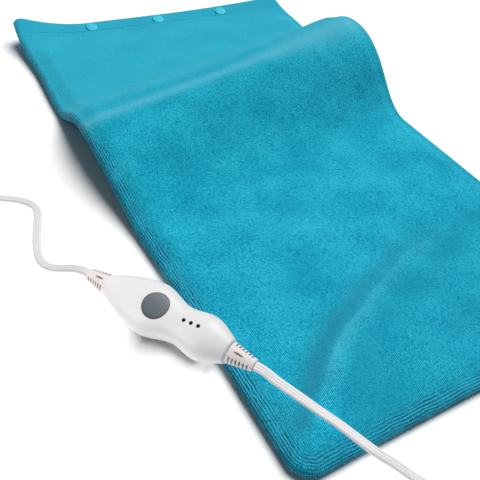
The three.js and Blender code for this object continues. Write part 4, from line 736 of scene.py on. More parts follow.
def border_rows(arc, u, v):
    """Place between the rows, a whole number in each row's groove, where shade is painted, and how strong the
    rows are there.
    """
    wander = sum(weight * value_noise(u, v, cell, seed) for weight, cell, seed in ROW_WANDER)
    place = (arc - ROW_FIRST + wander) / ROW_PITCH
    strength = (1 - ramp(place, *ROWS_FADE)) * patchy(u, v, *ROW_PATCHES)
    at_right = ramp(u, *PLAIN_RIGHT) * ramp(v, *PLAIN_NEAR)
    beyond_fold = ramp(v, *PLAIN_FAR) * ramp(place, *FAR_ROWS)
    for missing in (ROW_PLAIN * at_right, ROW_PLAIN * beyond_fold, ramp(v, *PLAIN_HEM)):
        strength = strength * (1 - missing)
    return place, np.clip(strength, 0, 1)


def from_line(u, v, line):
    """Signed distance from a line of points, and the share of its length that is nearest."""
    line = np.asarray(line, float)
    best = np.full(u.shape, np.inf)
    signed, share = np.zeros(u.shape), np.zeros(u.shape)
    for k in range(len(line) - 1):
        a, b = line[k], line[k + 1]
        d = b - a
        t = np.clip(((u - a[0]) * d[0] + (v - a[1]) * d[1]) / (d @ d), 0, 1)
        du, dv = u - a[0] - t * d[0], v - a[1] - t * d[1]
        away = np.hypot(du, dv)
        nearer = away < best
        best = np.where(nearer, away, best)
        signed = np.where(nearer, np.sign(d[0] * dv - d[1] * du) * away, signed)
        share = np.where(nearer, (k + t) / (len(line) - 1), share)
    return signed, share


def faded(share, start, end):
    """Fades in up to the first share of a line's length and out from the second."""
    return ramp(share, 0, start) * (1 - ramp(share, end, 1))


def hump(away, width):
    return np.exp(-((away / width) ** 2))


def soft_folds(u, v):
    """Height of the soft raised folds, steeper on one side than on the other."""
    height = np.zeros_like(u)
    for line, beside, top, one_side, other_side in SOFT_FOLDS:
        away, share = from_line(u, v, line)
        width = np.where(away < beside, one_side, other_side)
        height = height + top * faded(share, *SOFT_FOLD_ENDS) * hump(away - beside, width)
    return height


def pile_height(u, v):
    """Soft folds and uneven pile, with no deep dents."""
    weight, cell, seed = SMALL_PILE
    height = soft_folds(u, v) + weight * value_noise(u, v, cell, seed)
    slant_u, slant_v = SLANT_COSINE * u + SLANT_SINE * v, SLANT_COSINE * v - SLANT_SINE * u
    for weight, stretch, cell, seed in SLANT_PILE:
        height = height + weight * value_noise(stretch * slant_u, slant_v, cell, seed)
    return np.maximum(height, DEEPEST_DENT)


def half_edge(v):
    return mix(EDGE_THICKNESS, HEM_THICKNESS, hem_share(v)) / 2


def cover_heights(u, v, from_edge, rows):
    """How far the top, the base and the seam between them are above the pad's underside."""
    hem, half = hem_share(v), half_edge(v)
    full = mix(PAD_THICKNESS, HEM_THICKNESS, hem)
    inside = np.minimum(from_edge, half)
    bulge = np.sqrt(np.maximum(half**2 - (half - inside) ** 2, 0))
    crown = (full - 2 * half) * ramp(from_edge, half, CROWN_REACH)
    fuller = far_right_lift(u, v)
    middle = HEM_RAISE * hem + half
    loose = ramp(from_edge, *FREE_FROM_EDGE) * (1 - HEM_CALM * hem)
    top = middle + bulge + crown - ROW_DEPTH * rows + loose * pile_height(u, v) + fuller
    base = middle - bulge + UNDER_ROWS * ROW_DEPTH * rows * ramp(from_edge, *UNDER_EDGE)
    base = np.where(v < FLAT_LENGTH, np.maximum(base, FLOOR_GAP), base)
    return top, base, middle + SEAM_LIFT * fuller


def cover_marks(u, v):
    """Painted shade and highlight in the pile, and other marks: those on the top only, and those on both
    sides.
    """
    crest = crest_at(u)
    from_fold, along_fold = from_line(u, v, FIRST_FOLD)
    fold_shade = faded(along_fold, *FOLD_SHADE_ENDS) * mix(*FOLD_SHADE_SHARES, ramp(along_fold, *FOLD_SHADE_RISE))
    from_valley, along_valley = from_line(u, v, VALLEY_LINE)
    valley_shade = hump(from_valley, VALLEY_SHADE_WIDTH) * faded(along_valley, *VALLEY_SHADE_ENDS)
    near_right = ramp(u, *CORNER_ACROSS) * (1 - ramp(v, *CORNER_ALONG))
    beside_fold = ramp(from_fold, *BESIDE_FROM) * (1 - ramp(from_fold, *BESIDE_TO))
    beside_fold = beside_fold * ramp(along_fold, *BESIDE_ALONG)
    # Darker places: painted shade along the valley and in a band beside the first fold, and a darker near
    # right corner
    darkened = VALLEY_SHADE_SHARE * valley_shade * patchy(u, v, *VALLEY_SHADE_PATCHES)
    darkened = darkened + CORNER_SHARE * near_right + BESIDE_SHARE * beside_fold
    # Painted highlight along the crest, and a painted sheen that pales the cloth beyond it
    crest_highlight = CREST_HIGHLIGHT_SHARE * hump(v - crest, mix(*CREST_WIDTHS, ramp(u, *CREST_WIDENS)))
    on_top = {
        "fold_shade": fold_shade,
        "raised": fold_shade * (1 - ramp(along_fold, *FOLD_HIGHLIGHT_FALL)),
        "darkened": np.clip(darkened, 0, 1),
        "crest": crest_highlight + BEYOND_SHEEN_SHARE * ramp(v - crest, 0, BEYOND_REACH),
    }
    on_both = {
        "from_fold": np.clip(from_fold, -FOLD_REACH, FOLD_REACH),
        "hem": PLACKET_SHARE * ramp(v, *PLACKET_EDGE),
        "calm": CALM_SHARE * ramp(v - crest, *CALM_RISE),
    }
    return on_top, on_both


def cover_mesh(upper, lower, rim):
    """Closed mesh of two grids of points, which share the points on the rim."""
    above = np.arange(rim.size).reshape(rim.shape)
    below = above.copy()
    below[~rim] = rim.size + np.arange((~rim).sum())
    points = np.vstack([upper.reshape(-1, 3), lower[~rim]])
    sides = [
        np.stack([n[:-1, :-1], n[:-1, 1:], n[1:, 1:], n[1:, :-1]], -1).reshape(-1, 4) for n in (above, below)
    ]
    return points, np.concatenate([sides[0], sides[1][:, [0, 3, 2, 1]]])


def pad_cover():
    grid_u, grid_v = np.meshgrid(cloth_lines(PAD_WIDTH), cloth_lines(PAD_LENGTH))
    from_side, from_end = np.minimum(grid_u, PAD_WIDTH - grid_u), np.minimum(grid_v, PAD_LENGTH - grid_v)
    from_edge = np.minimum(from_side, from_end)
    rim = from_edge < 1e-9
    u, v = rounded(grid_u, grid_v)
    row_place, row_strength = border_rows(arc_from_edge(from_edge, half_edge(v)), u, v)
    rows = row_strength * (0.5 + 0.5 * np.cos(FULL_TURN * row_place))
    top, base, seam = cover_heights(u, v, from_edge, rows)
    upper, lower = (pad_point(u, v, np.where(rim, seam, height)) for height in (top, base))
    points, faces = cover_mesh(upper, lower, rim)
    piece = new_piece("pad_cover", placed(points), faces, smooth_angle=85)

    def whole(values, share_below=1.0):
        return np.concatenate([values.ravel(), share_below * values[~rim]])

    on_top, on_both = cover_marks(u, v)
    on_both.update(row=row_place, groove=row_strength)
    for marks, share_below in ((on_top, 0.0), (on_both, 1.0)):
        for name, values in marks.items():
            set_values(piece, name, whole(values, share_below))
    corners = np.empty(len(piece.data.loops), int)
    piece.data.loops.foreach_get("vertex_index", corners)
    flat = np.column_stack([whole(u), whole(v)]) * MM
    layer = piece.data.uv_layers.new(name="cloth")
    layer.data.foreach_set("uv", flat[corners].astype(np.float32).ravel())
    return piece


cover = dress(pad_cover(), plush_cloth, stands_for=["cover_front", "cover_back"])

# Snaps on the hem: a round cap above the cloth, over the part's own socket, stud and back
SNAP_INSET, SNAP_RADIUS, SNAP_COUNT = 15.8, 6.2, 3
SNAP_EDGE, SNAP_SIDE, SNAP_DOME, SNAP_SUNK, SNAP_RAISE = 0.6, 0.55, 0.5, 1.6, 0.5
SNAP_LEAN, SNAP_STEPS, DOME_STEPS, DOME_INSET = math.radians(14), 7, 9, 0.2


def snap_profile():
    """Radius and height from the sunken foot round the edge to the top of the dome."""
    bend = quarter(SNAP_STEPS)
    flat = SNAP_RADIUS - SNAP_EDGE
    foot = [(flat + SNAP_EDGE * math.sin(a), SNAP_SIDE - SNAP_EDGE * math.cos(a) - SNAP_SUNK) for a in bend]
    edge = [(flat + SNAP_EDGE * math.cos(a), SNAP_SIDE + SNAP_EDGE * math.sin(a)) for a in bend]
    shoulder = SNAP_SIDE + SNAP_EDGE
    radii = np.linspace(flat - DOME_INSET, 0, DOME_STEPS)
    dome = [(r, shoulder + SNAP_DOME * (1 - (r / flat) ** 2)) for r in radii]
    return [(0, -SNAP_SUNK)] + foot + edge + dome


def snap_cap(name, u, v, n):
    """Cap that leans a little towards the near edge, where the hem puckers round it."""
    u, v = np.array([u]), np.array([v])
    across, along, out = (direction[0] for direction in pad_axes(u, v))
    centre = pad_point(u, v, [n])[0]
    along, out = (along * math.cos(SNAP_LEAN) + out * math.sin(SNAP_LEAN),
                  out * math.cos(SNAP_LEAN) - along * math.sin(SNAP_LEAN))
    rings = turned_rings(snap_profile())
    points = centre + rings[..., :1] * across + rings[..., 1:2] * along + rings[..., 2:] * out
    return loft(name, placed(points), smooth_angle=50)


for k in range(1, SNAP_COUNT + 1):
    at_u = PAD_WIDTH * k / (SNAP_COUNT + 1)
    front = snap_cap(f"snap_front_{k}", at_u, PAD_LENGTH - SNAP_INSET, HEM_TOP + SNAP_RAISE)
    dress(front, snap_plastic, stands_for=[f"snap_cap_{k}"])
    repaint(snap_plastic, f"snap_socket_{k}", f"snap_stud_{k}", f"snap_back_{k}")

# Stitches that hold the placket, made by repeating one stitch along a line
STITCH_MARGIN, STITCH_INSET, STITCH_RAISE, LINE_STEPS = 12, 22.0, 0.05, 120
STITCH_PITCH, STITCH_LENGTH, THREAD_THICKNESS = 3.4, 2.7, 0.6


def stitch_tree():
    tree = bpy.data.node_groups.new("stitches", "GeometryNodeTree")
    for name, way in (("Line", "INPUT"), ("Stitches", "OUTPUT")):
        tree.interface.new_socket(name, in_out=way, socket_type="NodeSocketGeometry")
    line = tree.nodes.new("NodeGroupInput").outputs["Line"]
    curve = add_node(tree, "GeometryNodeMeshToCurve", {0: line})
    spaced = add_node(tree, "GeometryNodeResampleCurve", {
        "Curve": curve.outputs[0], "Length": STITCH_PITCH * MM,
    }, mode="LENGTH")
    stitch = add_node(tree, "GeometryNodeMeshUVSphere", {"Segments": 8, "Rings": 6, "Radius": 0.5})
    tangent = tree.nodes.new("GeometryNodeInputTangent")
    aligned = add_node(tree, "FunctionNodeAlignRotationToVector", {"Vector": tangent.outputs[0]}, axis="Z")
    repeated = add_node(tree, "GeometryNodeInstanceOnPoints", {
        "Points": spaced.outputs[0], "Instance": stitch.outputs["Mesh"], "Rotation": aligned.outputs[0],
        "Scale": [size * MM for size in (THREAD_THICKNESS, THREAD_THICKNESS, STITCH_LENGTH)],
    })
    whole = add_node(tree, "GeometryNodeRealizeInstances", {0: repeated.outputs[0]})
    painted = add_node(tree, "GeometryNodeSetMaterial", {"Geometry": whole.outputs[0], "Material": thread})
    add_node(tree, "NodeGroupOutput", {0: painted.outputs[0]})
    return tree


def stitch_row(name, line):
    mesh = bpy.data.meshes.new(name)
    mesh.from_pydata([tuple(p) for p in line], [(i, i + 1) for i in range(len(line) - 1)], [])
    row = bpy.data.objects.new(name, mesh)
    scene.collection.objects.link(row)
    row.modifiers.new("stitches", "NODES").node_group = stitch_tree()
    bpy.context.view_layer.update()
    apply_modifiers(row)
    row.data.shade_smooth()
    return row


row_u = np.linspace(STITCH_MARGIN, PAD_WIDTH - STITCH_MARGIN, LINE_STEPS)
row_v = np.full_like(row_u, PAD_LENGTH - STITCH_INSET)
row_line = placed(pad_point(row_u, row_v, np.full_like(row_u, HEM_TOP + STITCH_RAISE)))
dress(stitch_row("placket_stitches", row_line), thread)

# Controller: curves of place, value and slope along the body
BULGE_AT, WAIST_AT, TAIL_AT = 0.378 * BODY_LENGTH, 0.631 * BODY_LENGTH, 0.793 * BODY_LENGTH
BASE_START, BASE_END = 0.198 * BODY_LENGTH, 0.559 * BODY_LENGTH
HALF_WIDTH = [
    (0, 8.6, 0.42), (BULGE_AT, 19.8, 0), (WAIST_AT, 13.7, 0), (TAIL_AT, 16.3, 0), (BODY_LENGTH, 8.6, -0.5),
]
TOP_HEIGHT = [
    (0, 7.6, 0.22), (BULGE_AT, 13, 0), (WAIST_AT, 11.6, 0), (TAIL_AT, 12.4, 0), (BODY_LENGTH, 7.6, -0.35),
]
BASE_DEPTH = [(0, 6.2, 0.25), (BASE_START, 9.6, 0), (BASE_END, 9.6, 0), (BODY_LENGTH, 6.2, -0.1)]
TOP_SQUARENESS, BASE_SQUARENESS, BASE_FLATTENING = 2.3, 2.6, 1.6
PARTING_GAP, BODY_WALL, END_ROUND, HOLLOW_PAST = 0.3, 2.0, 0.7, 1.0
FIT = 0.3
BODY_STATIONS, HOLLOW_STATIONS, END_STEPS, SECTION_STEPS = 110, 60, 6, 48
OVAL_SIDES, SMALL_SIDES = 48, 32
OVAL_ANGLES = angles_round(OVAL_SIDES, 0.5)
NECK, NECK_CUT, FLANGE, FLANGE_SPAN = (8.8, 5.8), (-2, 4), (10.8, 7.8), (-3.9, -2.3)
SCREW_START, SCREW_END = 0.135 * BODY_LENGTH, 0.892 * BODY_LENGTH
SCREW_PLACES = [(SCREW_START, 6.2), (SCREW_START, -6.2), (SCREW_END, 6.4), (SCREW_END, -6.4)]
BOSS_DIAMETER, BOSS_TOP, BOSS_BASE = 6.0, 7.0, -7.8
HEAD_CUT, HEAD_SPAN, SHANK_CUT, SHANK_SPAN = 5.0, (-30, -4.5), 2.8, (-6, 1)
TOP_CUT = (1, 30)
BUTTON_AT, BUTTON_DIAMETER, BUTTON_GAP, BUTTON_PROUD = 0.438 * BODY_LENGTH, 19.2, 0.35, 0.35
BUTTON_EDGE, BUTTON_SIDES, STEM_RADIUS, STEM_FOOT = 0.8, 96, 2.3, 4.75
BUTTON_EDGE_STEPS, BUTTON_FACE_STEPS, BUTTON_MIDDLE = 7, 14, 0.01
COLLAR_REACH, COLLAR_SUNK, COLLAR_HEIGHT = 1.6, 2.8, 1.2
LIGHT_AT, LIGHT_ACROSS, LIGHT_PITCH, LIGHT_SLANT = 0.717 * BODY_LENGTH, 1.1, 5.7, math.radians(5)
LIGHT_STEP = (LIGHT_PITCH * math.cos(LIGHT_SLANT), LIGHT_PITCH * math.sin(LIGHT_SLANT))
LIGHTS = [(LIGHT_AT + k * LIGHT_STEP[0], LIGHT_ACROSS + k * LIGHT_STEP[1]) for k in (-1, 0, 1)]
LIGHT_DIAMETER, LENS_FOOT, LENS_SUNK, LENS_DOME = 2.3, 0.8, 0.1, 0.45
LENS_BEND, LENS_STEPS = 0.15, 8


def smooth_curve(points, x):
    places, values, slopes = np.array(points, float).T
    k = np.clip(np.searchsorted(places, x) - 1, 0, len(places) - 2)
    span = places[k + 1] - places[k]
    t = np.clip((x - places[k]) / span, 0, 1)
    bend = slopes[k] * t * (1 - t) ** 2 - slopes[k + 1] * t * t * (1 - t)
    return mix(values[k], values[k + 1], ramp(t, 0, 1)) + span * bend


def top_face(along, across):
    share = np.clip(np.abs(across / smooth_curve(HALF_WIDTH, along)), 0, 1) ** TOP_SQUARENESS
    return smooth_curve(TOP_HEIGHT, along) * (1 - share) ** (1 / TOP_SQUARENESS)


def shell_ring(along, top, inset):
    """Half section of one shell, closed along the parting plane; the hollow's runs past that plane."""
    from_end = min(along, BODY_LENGTH - along)
    trim = inset
    if inset == 0 and from_end < END_ROUND:
        trim = edge_trim(END_ROUND, END_ROUND - from_end)
    width = float(smooth_curve(HALF_WIDTH, along)) - trim
    height = float(smooth_curve(TOP_HEIGHT if top else BASE_DEPTH, along)) - trim
    power = 2 / (TOP_SQUARENESS if top else BASE_SQUARENESS)
    angle = np.linspace(0, np.pi, SECTION_STEPS + 1)
    y = width * np.sign(np.cos(angle)) * np.abs(np.cos(angle)) ** power
    curve = np.abs(np.sin(angle)) ** power
    z = height * curve if top else np.minimum((height + BASE_FLATTENING) * curve, height)
    z = np.maximum(z, PARTING_GAP / 2)
    if inset:
        y = np.concatenate([[width], y, [-width]])
        z = np.concatenate([[-HOLLOW_PAST], z, [-HOLLOW_PAST]])
    return ring_across(along, y, z if top else -z)


def body_loft(name, rings, smooth_angle=40):
    return loft(name, placed(in_body(np.array(rings))), smooth_angle)


def shell_solid(name, top, inset):
    if inset:
        places = np.linspace(inset, BODY_LENGTH - inset, HOLLOW_STATIONS)
    else:
        ends = END_ROUND * (1 - np.cos(quarter(END_STEPS)))
        middle = np.linspace(END_ROUND, BODY_LENGTH - END_ROUND, BODY_STATIONS)[1:-1]
        places = np.concatenate([ends, middle, BODY_LENGTH - ends[::-1]])
    return body_loft(name, [shell_ring(along, top, inset) for along in places])


def body_rod(name, diameter, span, place, sides=48):
    rings = turned_rings([(diameter / 2, z) for z in span], sides)
    return body_loft(name, rings + np.array([*place, 0]))


def oval_ring(x, width, height, angles=OVAL_ANGLES):
    return ring_across(x, width / 2 * np.cos(angles), height / 2 * np.sin(angles))


def controller_shell(name, top):
    """Hollow shell with bosses, room for the reliefs' necks, and holes for button and lights or screws."""
    shell = shell_solid(name, top, 0)
    carve(shell, shell_solid("hollow", top, BODY_WALL))
    boss = (PARTING_GAP / 2, BOSS_TOP) if top else (BOSS_BASE, -PARTING_GAP / 2)
    for place in SCREW_PLACES:
        carve(shell, body_rod("boss", BOSS_DIAMETER, boss, place, SMALL_SIDES), "UNION")
    neck = [size + 2 * FIT for size in NECK]
    for span in (NECK_CUT, [BODY_LENGTH - x for x in reversed(NECK_CUT)]):
        carve(shell, body_loft("neck_cut", [oval_ring(x, *neck) for x in span]))
    if top:
        button_hole = BUTTON_DIAMETER + 2 * BUTTON_GAP
        carve(shell, body_rod("button_cut", button_hole, TOP_CUT, (BUTTON_AT, 0), BUTTON_SIDES))
        for place in LIGHTS:
            carve(shell, body_rod("light_cut", LIGHT_DIAMETER + 2 * FIT, TOP_CUT, place))
    else:
        for place in SCREW_PLACES:
            carve(shell, body_rod("head_cut", HEAD_CUT, HEAD_SPAN, place))
            carve(shell, body_rod("shank_cut", SHANK_CUT, SHANK_SPAN, place, SMALL_SIDES))
    return shell


case_top = controller_shell("case_top", True)
case_base = controller_shell("case_base", False)
dress(case_top, case_plastic, stands_for=["controller_top"])
dress(case_base, case_plastic, stands_for=["controller_bottom"])


def button():
    """Cap that follows the shell's face, with a rounded edge, over a collar and the stem to the switch."""
    radius, collar = BUTTON_DIAMETER / 2, BUTTON_DIAMETER / 2 + COLLAR_REACH
    angles = angles_round(BUTTON_SIDES)
    collar_top = float(top_face(BUTTON_AT, collar)) - COLLAR_SUNK
    collar_base = collar_top - COLLAR_HEIGHT

    def ring(r, height=None, drop=0.0):
        x, y = BUTTON_AT + r * np.cos(angles), r * np.sin(angles)
        z = top_face(x, y) + BUTTON_PROUD - drop if height is None else np.full(BUTTON_SIDES, height)
        return np.column_stack([x, y, z])

    rings = [ring(STEM_RADIUS, STEM_FOOT), ring(STEM_RADIUS, collar_base), ring(collar, collar_base),
             ring(collar, collar_top), ring(radius, collar_top)]
    flat = radius - BUTTON_EDGE
    for a in quarter(BUTTON_EDGE_STEPS):
        rings.append(ring(flat + BUTTON_EDGE * math.cos(a), drop=BUTTON_EDGE * (1 - math.sin(a))))
    rings += [ring(r) for r in np.linspace(flat, BUTTON_MIDDLE, BUTTON_FACE_STEPS)[1:]]
    return body_loft("button_cap", rings)


dress(button(), button_plastic, "button", ["power_button"])


def lens(name, place):
    radius, face = LIGHT_DIAMETER / 2, float(top_face(*place)) - LENS_SUNK
    outline = [(radius, LENS_FOOT), (radius, face)]
    bend = np.linspace(LENS_BEND, np.pi / 2, LENS_STEPS)
    outline += [(radius * math.cos(a), face + LENS_DOME * math.sin(a)) for a in bend]
    return body_loft(name, turned_rings(outline, SMALL_SIDES) + np.array([*place, 0]), smooth_angle=50)


for k, place in enumerate(LIGHTS, 1):
    dress(lens(f"lens_{k}", place), lens_plastic, stands_for=[f"light_lens_{k}"])

# Strain reliefs, with slots in the flanks and a slit on top
RELIEF_ROOT, CORD_END, RELIEF_EDGE = (16.4, 12.2), (9.2, 6.8), 0.45
TAPER_START, TAPER_END, RELIEF_STATIONS, RELIEF_SIDES = -0.2, 1.3, 60, 64
SLOT_FIRST, SLOT_PITCH, SLOT_COUNT = 3.4, 2.6, 6
SLOT_MIDDLES = [SLOT_FIRST + SLOT_PITCH * k for k in range(SLOT_COUNT)]
SLOT_HALF, SLOT_FLOOR, SLOT_SHARE, SLOT_END_STEP, SLOT_EDGE_STEP = 0.5, 0.6, 0.8, 0.01, 0.02
SLIT_AT, SLIT_LENGTH, SLIT_WIDTH, SLIT_DEPTH, SLIT_SPREAD, SLIT_STEPS = 8, 7, 1.4, 2.2, 0.12, 17


def relief_size(x):
    share = ramp(x / RELIEF_LENGTH, TAPER_START, TAPER_END) / ramp(1, TAPER_START, TAPER_END)
    return [float(mix(root, end, share)) for root, end in zip(RELIEF_ROOT, CORD_END)]


def both_sides(at, step):
    """Places a step before and after each of two edges, which are as far from the middle as given."""
    return [side * (at + off) for side in (-1, 1) for off in (-step, step)]


def relief_angles():
    """Even angles, with more at the ends of the slots and across the slit."""
    ends = both_sides(math.asin(SLOT_SHARE), SLOT_END_STEP)
    ends += [np.pi + angle for angle in ends]
    slit = np.pi / 2 + np.linspace(-SLIT_SPREAD, SLIT_SPREAD, SLIT_STEPS)
    angles = np.concatenate([np.mod(ends, FULL_TURN), angles_round(RELIEF_SIDES), slit])
    return np.unique(np.round(angles, 5))


def relief_ring(x, angles):
    """Ring of the tapered outside, and which of its points lie in a slot or in the slit."""
    width, height = relief_size(x)
    from_end = min(x - FIT, RELIEF_LENGTH - x, RELIEF_EDGE)
    trim = edge_trim(RELIEF_EDGE, RELIEF_EDGE - from_end)
    y = (width / 2 - trim) * np.cos(angles)
    z = (height / 2 - trim) * np.sin(angles)
    mark = np.zeros(len(angles))
    if any(abs(x - middle) < SLOT_HALF for middle in SLOT_MIDDLES):
        flank = np.abs(np.sin(angles)) < SLOT_SHARE
        floor = width / 2 * SLOT_FLOOR
        mark = np.where(flank & (np.abs(y) > floor), 1.0, 0.0)
        y = np.where(flank, np.sign(y) * np.minimum(np.abs(y), floor), y)
    in_slit = (((x - SLIT_AT) / (SLIT_LENGTH / 2)) ** 2 + (y / (SLIT_WIDTH / 2)) ** 2 < 1) & (z > 0)
    z = np.where(in_slit, height / 2 - SLIT_DEPTH, z)
    return ring_across(x, y, z), np.where(in_slit, 1.0, mark)


def relief(name, place):
    """Flange and neck inside the shells, then the tapered outside."""
    angles = relief_angles()
    edges = [middle + off for middle in SLOT_MIDDLES for off in both_sides(SLOT_HALF, SLOT_EDGE_STEP)]
    places = np.concatenate([np.linspace(FIT, RELIEF_LENGTH, RELIEF_STATIONS), edges])
    start, end = FLANGE_SPAN
    inner = [(start, FLANGE), (end, FLANGE), (end, NECK), (FIT, NECK)]
    made = [(oval_ring(x, *size, angles), np.zeros(len(angles))) for x, size in inner]
    made += [relief_ring(x, angles) for x in np.unique(np.round(places, 4))]
    rings, marks = zip(*made)
    piece = body_loft(name, place(np.array(rings)), smooth_angle=35)
    # Slot and slit marks, by which painted shade is mixed in
    set_values(piece, "slot", np.concatenate([*marks, [0, 0]]))
    return piece


relief_at_mains = relief("relief_at_mains", lambda rings: rings * np.array([-1, -1, 1]))
relief_at_pad = relief("relief_at_pad", lambda rings: rings + np.array([BODY_LENGTH, 0, 0]))
dress(relief_at_mains, relief_plastic, stands_for=["relief_mains"])
dress(relief_at_pad, relief_plastic, stands_for=["relief_pad"])

# Gland where the lead goes into the pad
GLAND_ROOT, GLAND_INSIDE, GLAND_FACE, GLAND_EDGE = (12, 6), -5.7, (15, 8.4), 0.4
GLAND_TAPER, GLAND_SHOULDER, GLAND_STATIONS = (0.15 * GLAND_LENGTH, GLAND_LENGTH), 2, 30


def gland():
    face, end = np.array(GLAND_FACE), np.array(CORD_END)
    trim = 2 * GLAND_EDGE
    sizes = [(GLAND_INSIDE, GLAND_ROOT), (FIT, GLAND_ROOT), (FIT, face - trim), (FIT + GLAND_EDGE, face)]
    for x in np.linspace(GLAND_SHOULDER, GLAND_LENGTH - GLAND_EDGE, GLAND_STATIONS):
        sizes.append((x, mix(face, end, ramp(x, *GLAND_TAPER))))
    sizes.append((GLAND_LENGTH, end - trim))
    rings = np.array([oval_ring(x, *size) for x, size in sizes])
    turned_out = np.stack([rings[..., 1] + GLAND_AT, -rings[..., 0], rings[..., 2] + SEAM_HEIGHT], -1)
    return loft("gland", placed(turned_out))


dress(gland(), wire_white, stands_for=["pad_gland"])

# Plug at the end of the mains lead
PLUG_SECTIONS = [(0, 9.2, 6.8), (16, 11, 8.6), (22, 20, 13), (34, 25, 14), (46, 23.5, 14)]
PLUG_SQUARENESS, PLUG_EDGE, PLUG_SIDES, PLUG_STATIONS, PLUG_EDGE_STEPS = 3.2, 1.2, 64, 70, 8
GRIP_DEPTH, GRIP_PITCH, GRIP_SPAN = 0.35, 2.4, (4, 15.8)
BLADE_SPACING, BLADE_WIDTHS, BLADE_THICKNESS, POCKET_REACH = 12.7, (6.35, 7.9), 1.5, 6
plug_start = plug_in + coil_out * CORD_GAP


def in_plug(points):
    """From the plug's axes, X out of its face, to the pad's."""
    x, y, z = np.moveaxis(np.asarray(points, float), -1, 0)
    return np.stack([plug_start[0] + y, plug_start[1] - x, plug_start[2] + z], -1)


def squared(value):
    return np.sign(value) * np.abs(value) ** (2 / PLUG_SQUARENESS)


def plug_ring(x, width, height):
    angles = angles_round(PLUG_SIDES, 0.5)
    return ring_across(x, width / 2 * squared(np.cos(angles)), height / 2 * squared(np.sin(angles)))


def plug():
    """Moulding with a grooved grip, a rounded face and a pocket for each blade."""
    at, wide, high = np.array(PLUG_SECTIONS, float).T
    face = at[-1]
    edge_start = face - PLUG_EDGE
    edge_places = edge_start + PLUG_EDGE * np.sin(quarter(PLUG_EDGE_STEPS))[1:]
    rings = []
    for x in np.concatenate([np.linspace(0, edge_start, PLUG_STATIONS), edge_places]):
        k = min(int(np.searchsorted(at, x, side="right")) - 1, len(at) - 2)
        share = ramp(x, at[k], at[k + 1])
        trim = edge_trim(PLUG_EDGE, max(x - edge_start, 0))
        if GRIP_SPAN[0] < x < GRIP_SPAN[1]:
            trim += GRIP_DEPTH * (0.5 - 0.5 * math.cos(FULL_TURN * x / GRIP_PITCH))
        width, height = (mix(size[k], size[k + 1], share) - 2 * trim for size in (wide, high))
        rings.append(plug_ring(x, width, height))
    body = loft("plug_moulding", placed(in_plug(rings)))
    for side, blade in zip((1, -1), BLADE_WIDTHS):
        half_size = [BLADE_THICKNESS / 2 + FIT, blade / 2 + FIT]
        corners = np.array(SQUARE) * half_size + [side * BLADE_SPACING / 2, 0]
        pocket = [ring_across(face + way * POCKET_REACH, *corners.T) for way in (-1, 1)]
        carve(body, loft("pocket", placed(in_plug(pocket))))
    return body


dress(plug(), wire_white, stands_for=["plug_body"])

# Tie round the wound-up lead: a flat band with its ends twisted together
TIE_WIDTH, TIE_BAND, TIE_CLEARANCE, TIE_CORNER, TIE_BEVEL, TIE_STEPS = 4, 0.8, 0.35, 1.8, 0.8, 9
TWIST_LENGTH, TWIST_TURNS, TWIST_RADIUS, TWIST_RAISE, TWIST_OVERLAP = 14, 3.5, 0.5, 0.2, 1
STRAND_RADIUS, STRAND_SIDES, STRAND_STEPS = 0.5, 8, 60


def tie_band(inner, outer, low, high):
    """Points and faces of the closed band, in a plane across the coil with X outwards."""
    section = [(0, -1), (0, 1), (TIE_BAND, TIE_BEVEL), (TIE_BAND, -TIE_BEVEL)]
    near, far = inner + TIE_CORNER, outer - TIE_CORNER
    bottom, top = low + TIE_CORNER, high - TIE_CORNER
    points = []
    for x, z, start in ((far, top, 0), (near, top, 90), (near, bottom, 180), (far, bottom, 270)):
        for a in np.radians(np.linspace(start, start + 90, TIE_STEPS)):
            for out, across in section:
                r = TIE_CORNER + out
                points.append((x + r * math.cos(a), TIE_WIDTH / 2 * across, z + r * math.sin(a)))
    sides, total = len(section), len(points)
    faces = []
    for k in range(0, total, sides):
        after = (k + sides) % total
        for i in range(sides):
            j = (i + 1) % sides
            faces.append((k + i, k + j, after + j, after + i))
    return np.array(points), faces


def coil_tie():
    inner = COIL_RADIUS - COIL_PITCH * COIL_SPIRAL - CORD_THICKNESS / 2 - TIE_CLEARANCE
    outer = COIL_RADIUS + CORD_THICKNESS / 2 + TIE_CLEARANCE
    low = COIL_LOW - CORD_WIDTH / 2 - TIE_CLEARANCE
    high = COIL_LOW + COIL_LAYER + CORD_WIDTH / 2 + TIE_CLEARANCE
    points, faces = tie_band(inner, outer, low, high)
    along = np.linspace(0, 1, STRAND_STEPS)
    around = angles_round(STRAND_SIDES)
    ring = ring_across(0, STRAND_RADIUS * np.cos(around), STRAND_RADIUS * np.sin(around))
    for phase in (0, np.pi):
        spin = phase + FULL_TURN * TWIST_TURNS * along
        x = outer - TWIST_OVERLAP + (TWIST_LENGTH + TWIST_OVERLAP) * along
        y, z = TWIST_RADIUS * np.cos(spin), high + TWIST_RAISE + TWIST_RADIUS * np.sin(spin)
        line = np.column_stack([x, y, z])
        strand = (line[:, None] + ring).reshape(-1, 3)
        faces += [tuple(i + len(points) for i in f) for f in loft_faces(STRAND_STEPS, STRAND_SIDES)]
        points = np.vstack([points, strand, line[[0, -1]]])
    spot = np.stack([COIL_CENTRE[0] + points[:, 1], COIL_CENTRE[1] - points[:, 0], points[:, 2]], -1)
    return new_piece("lead_tie", placed(spot), faces)


dress(coil_tie(), wire_white, stands_for=["coil_tie"])

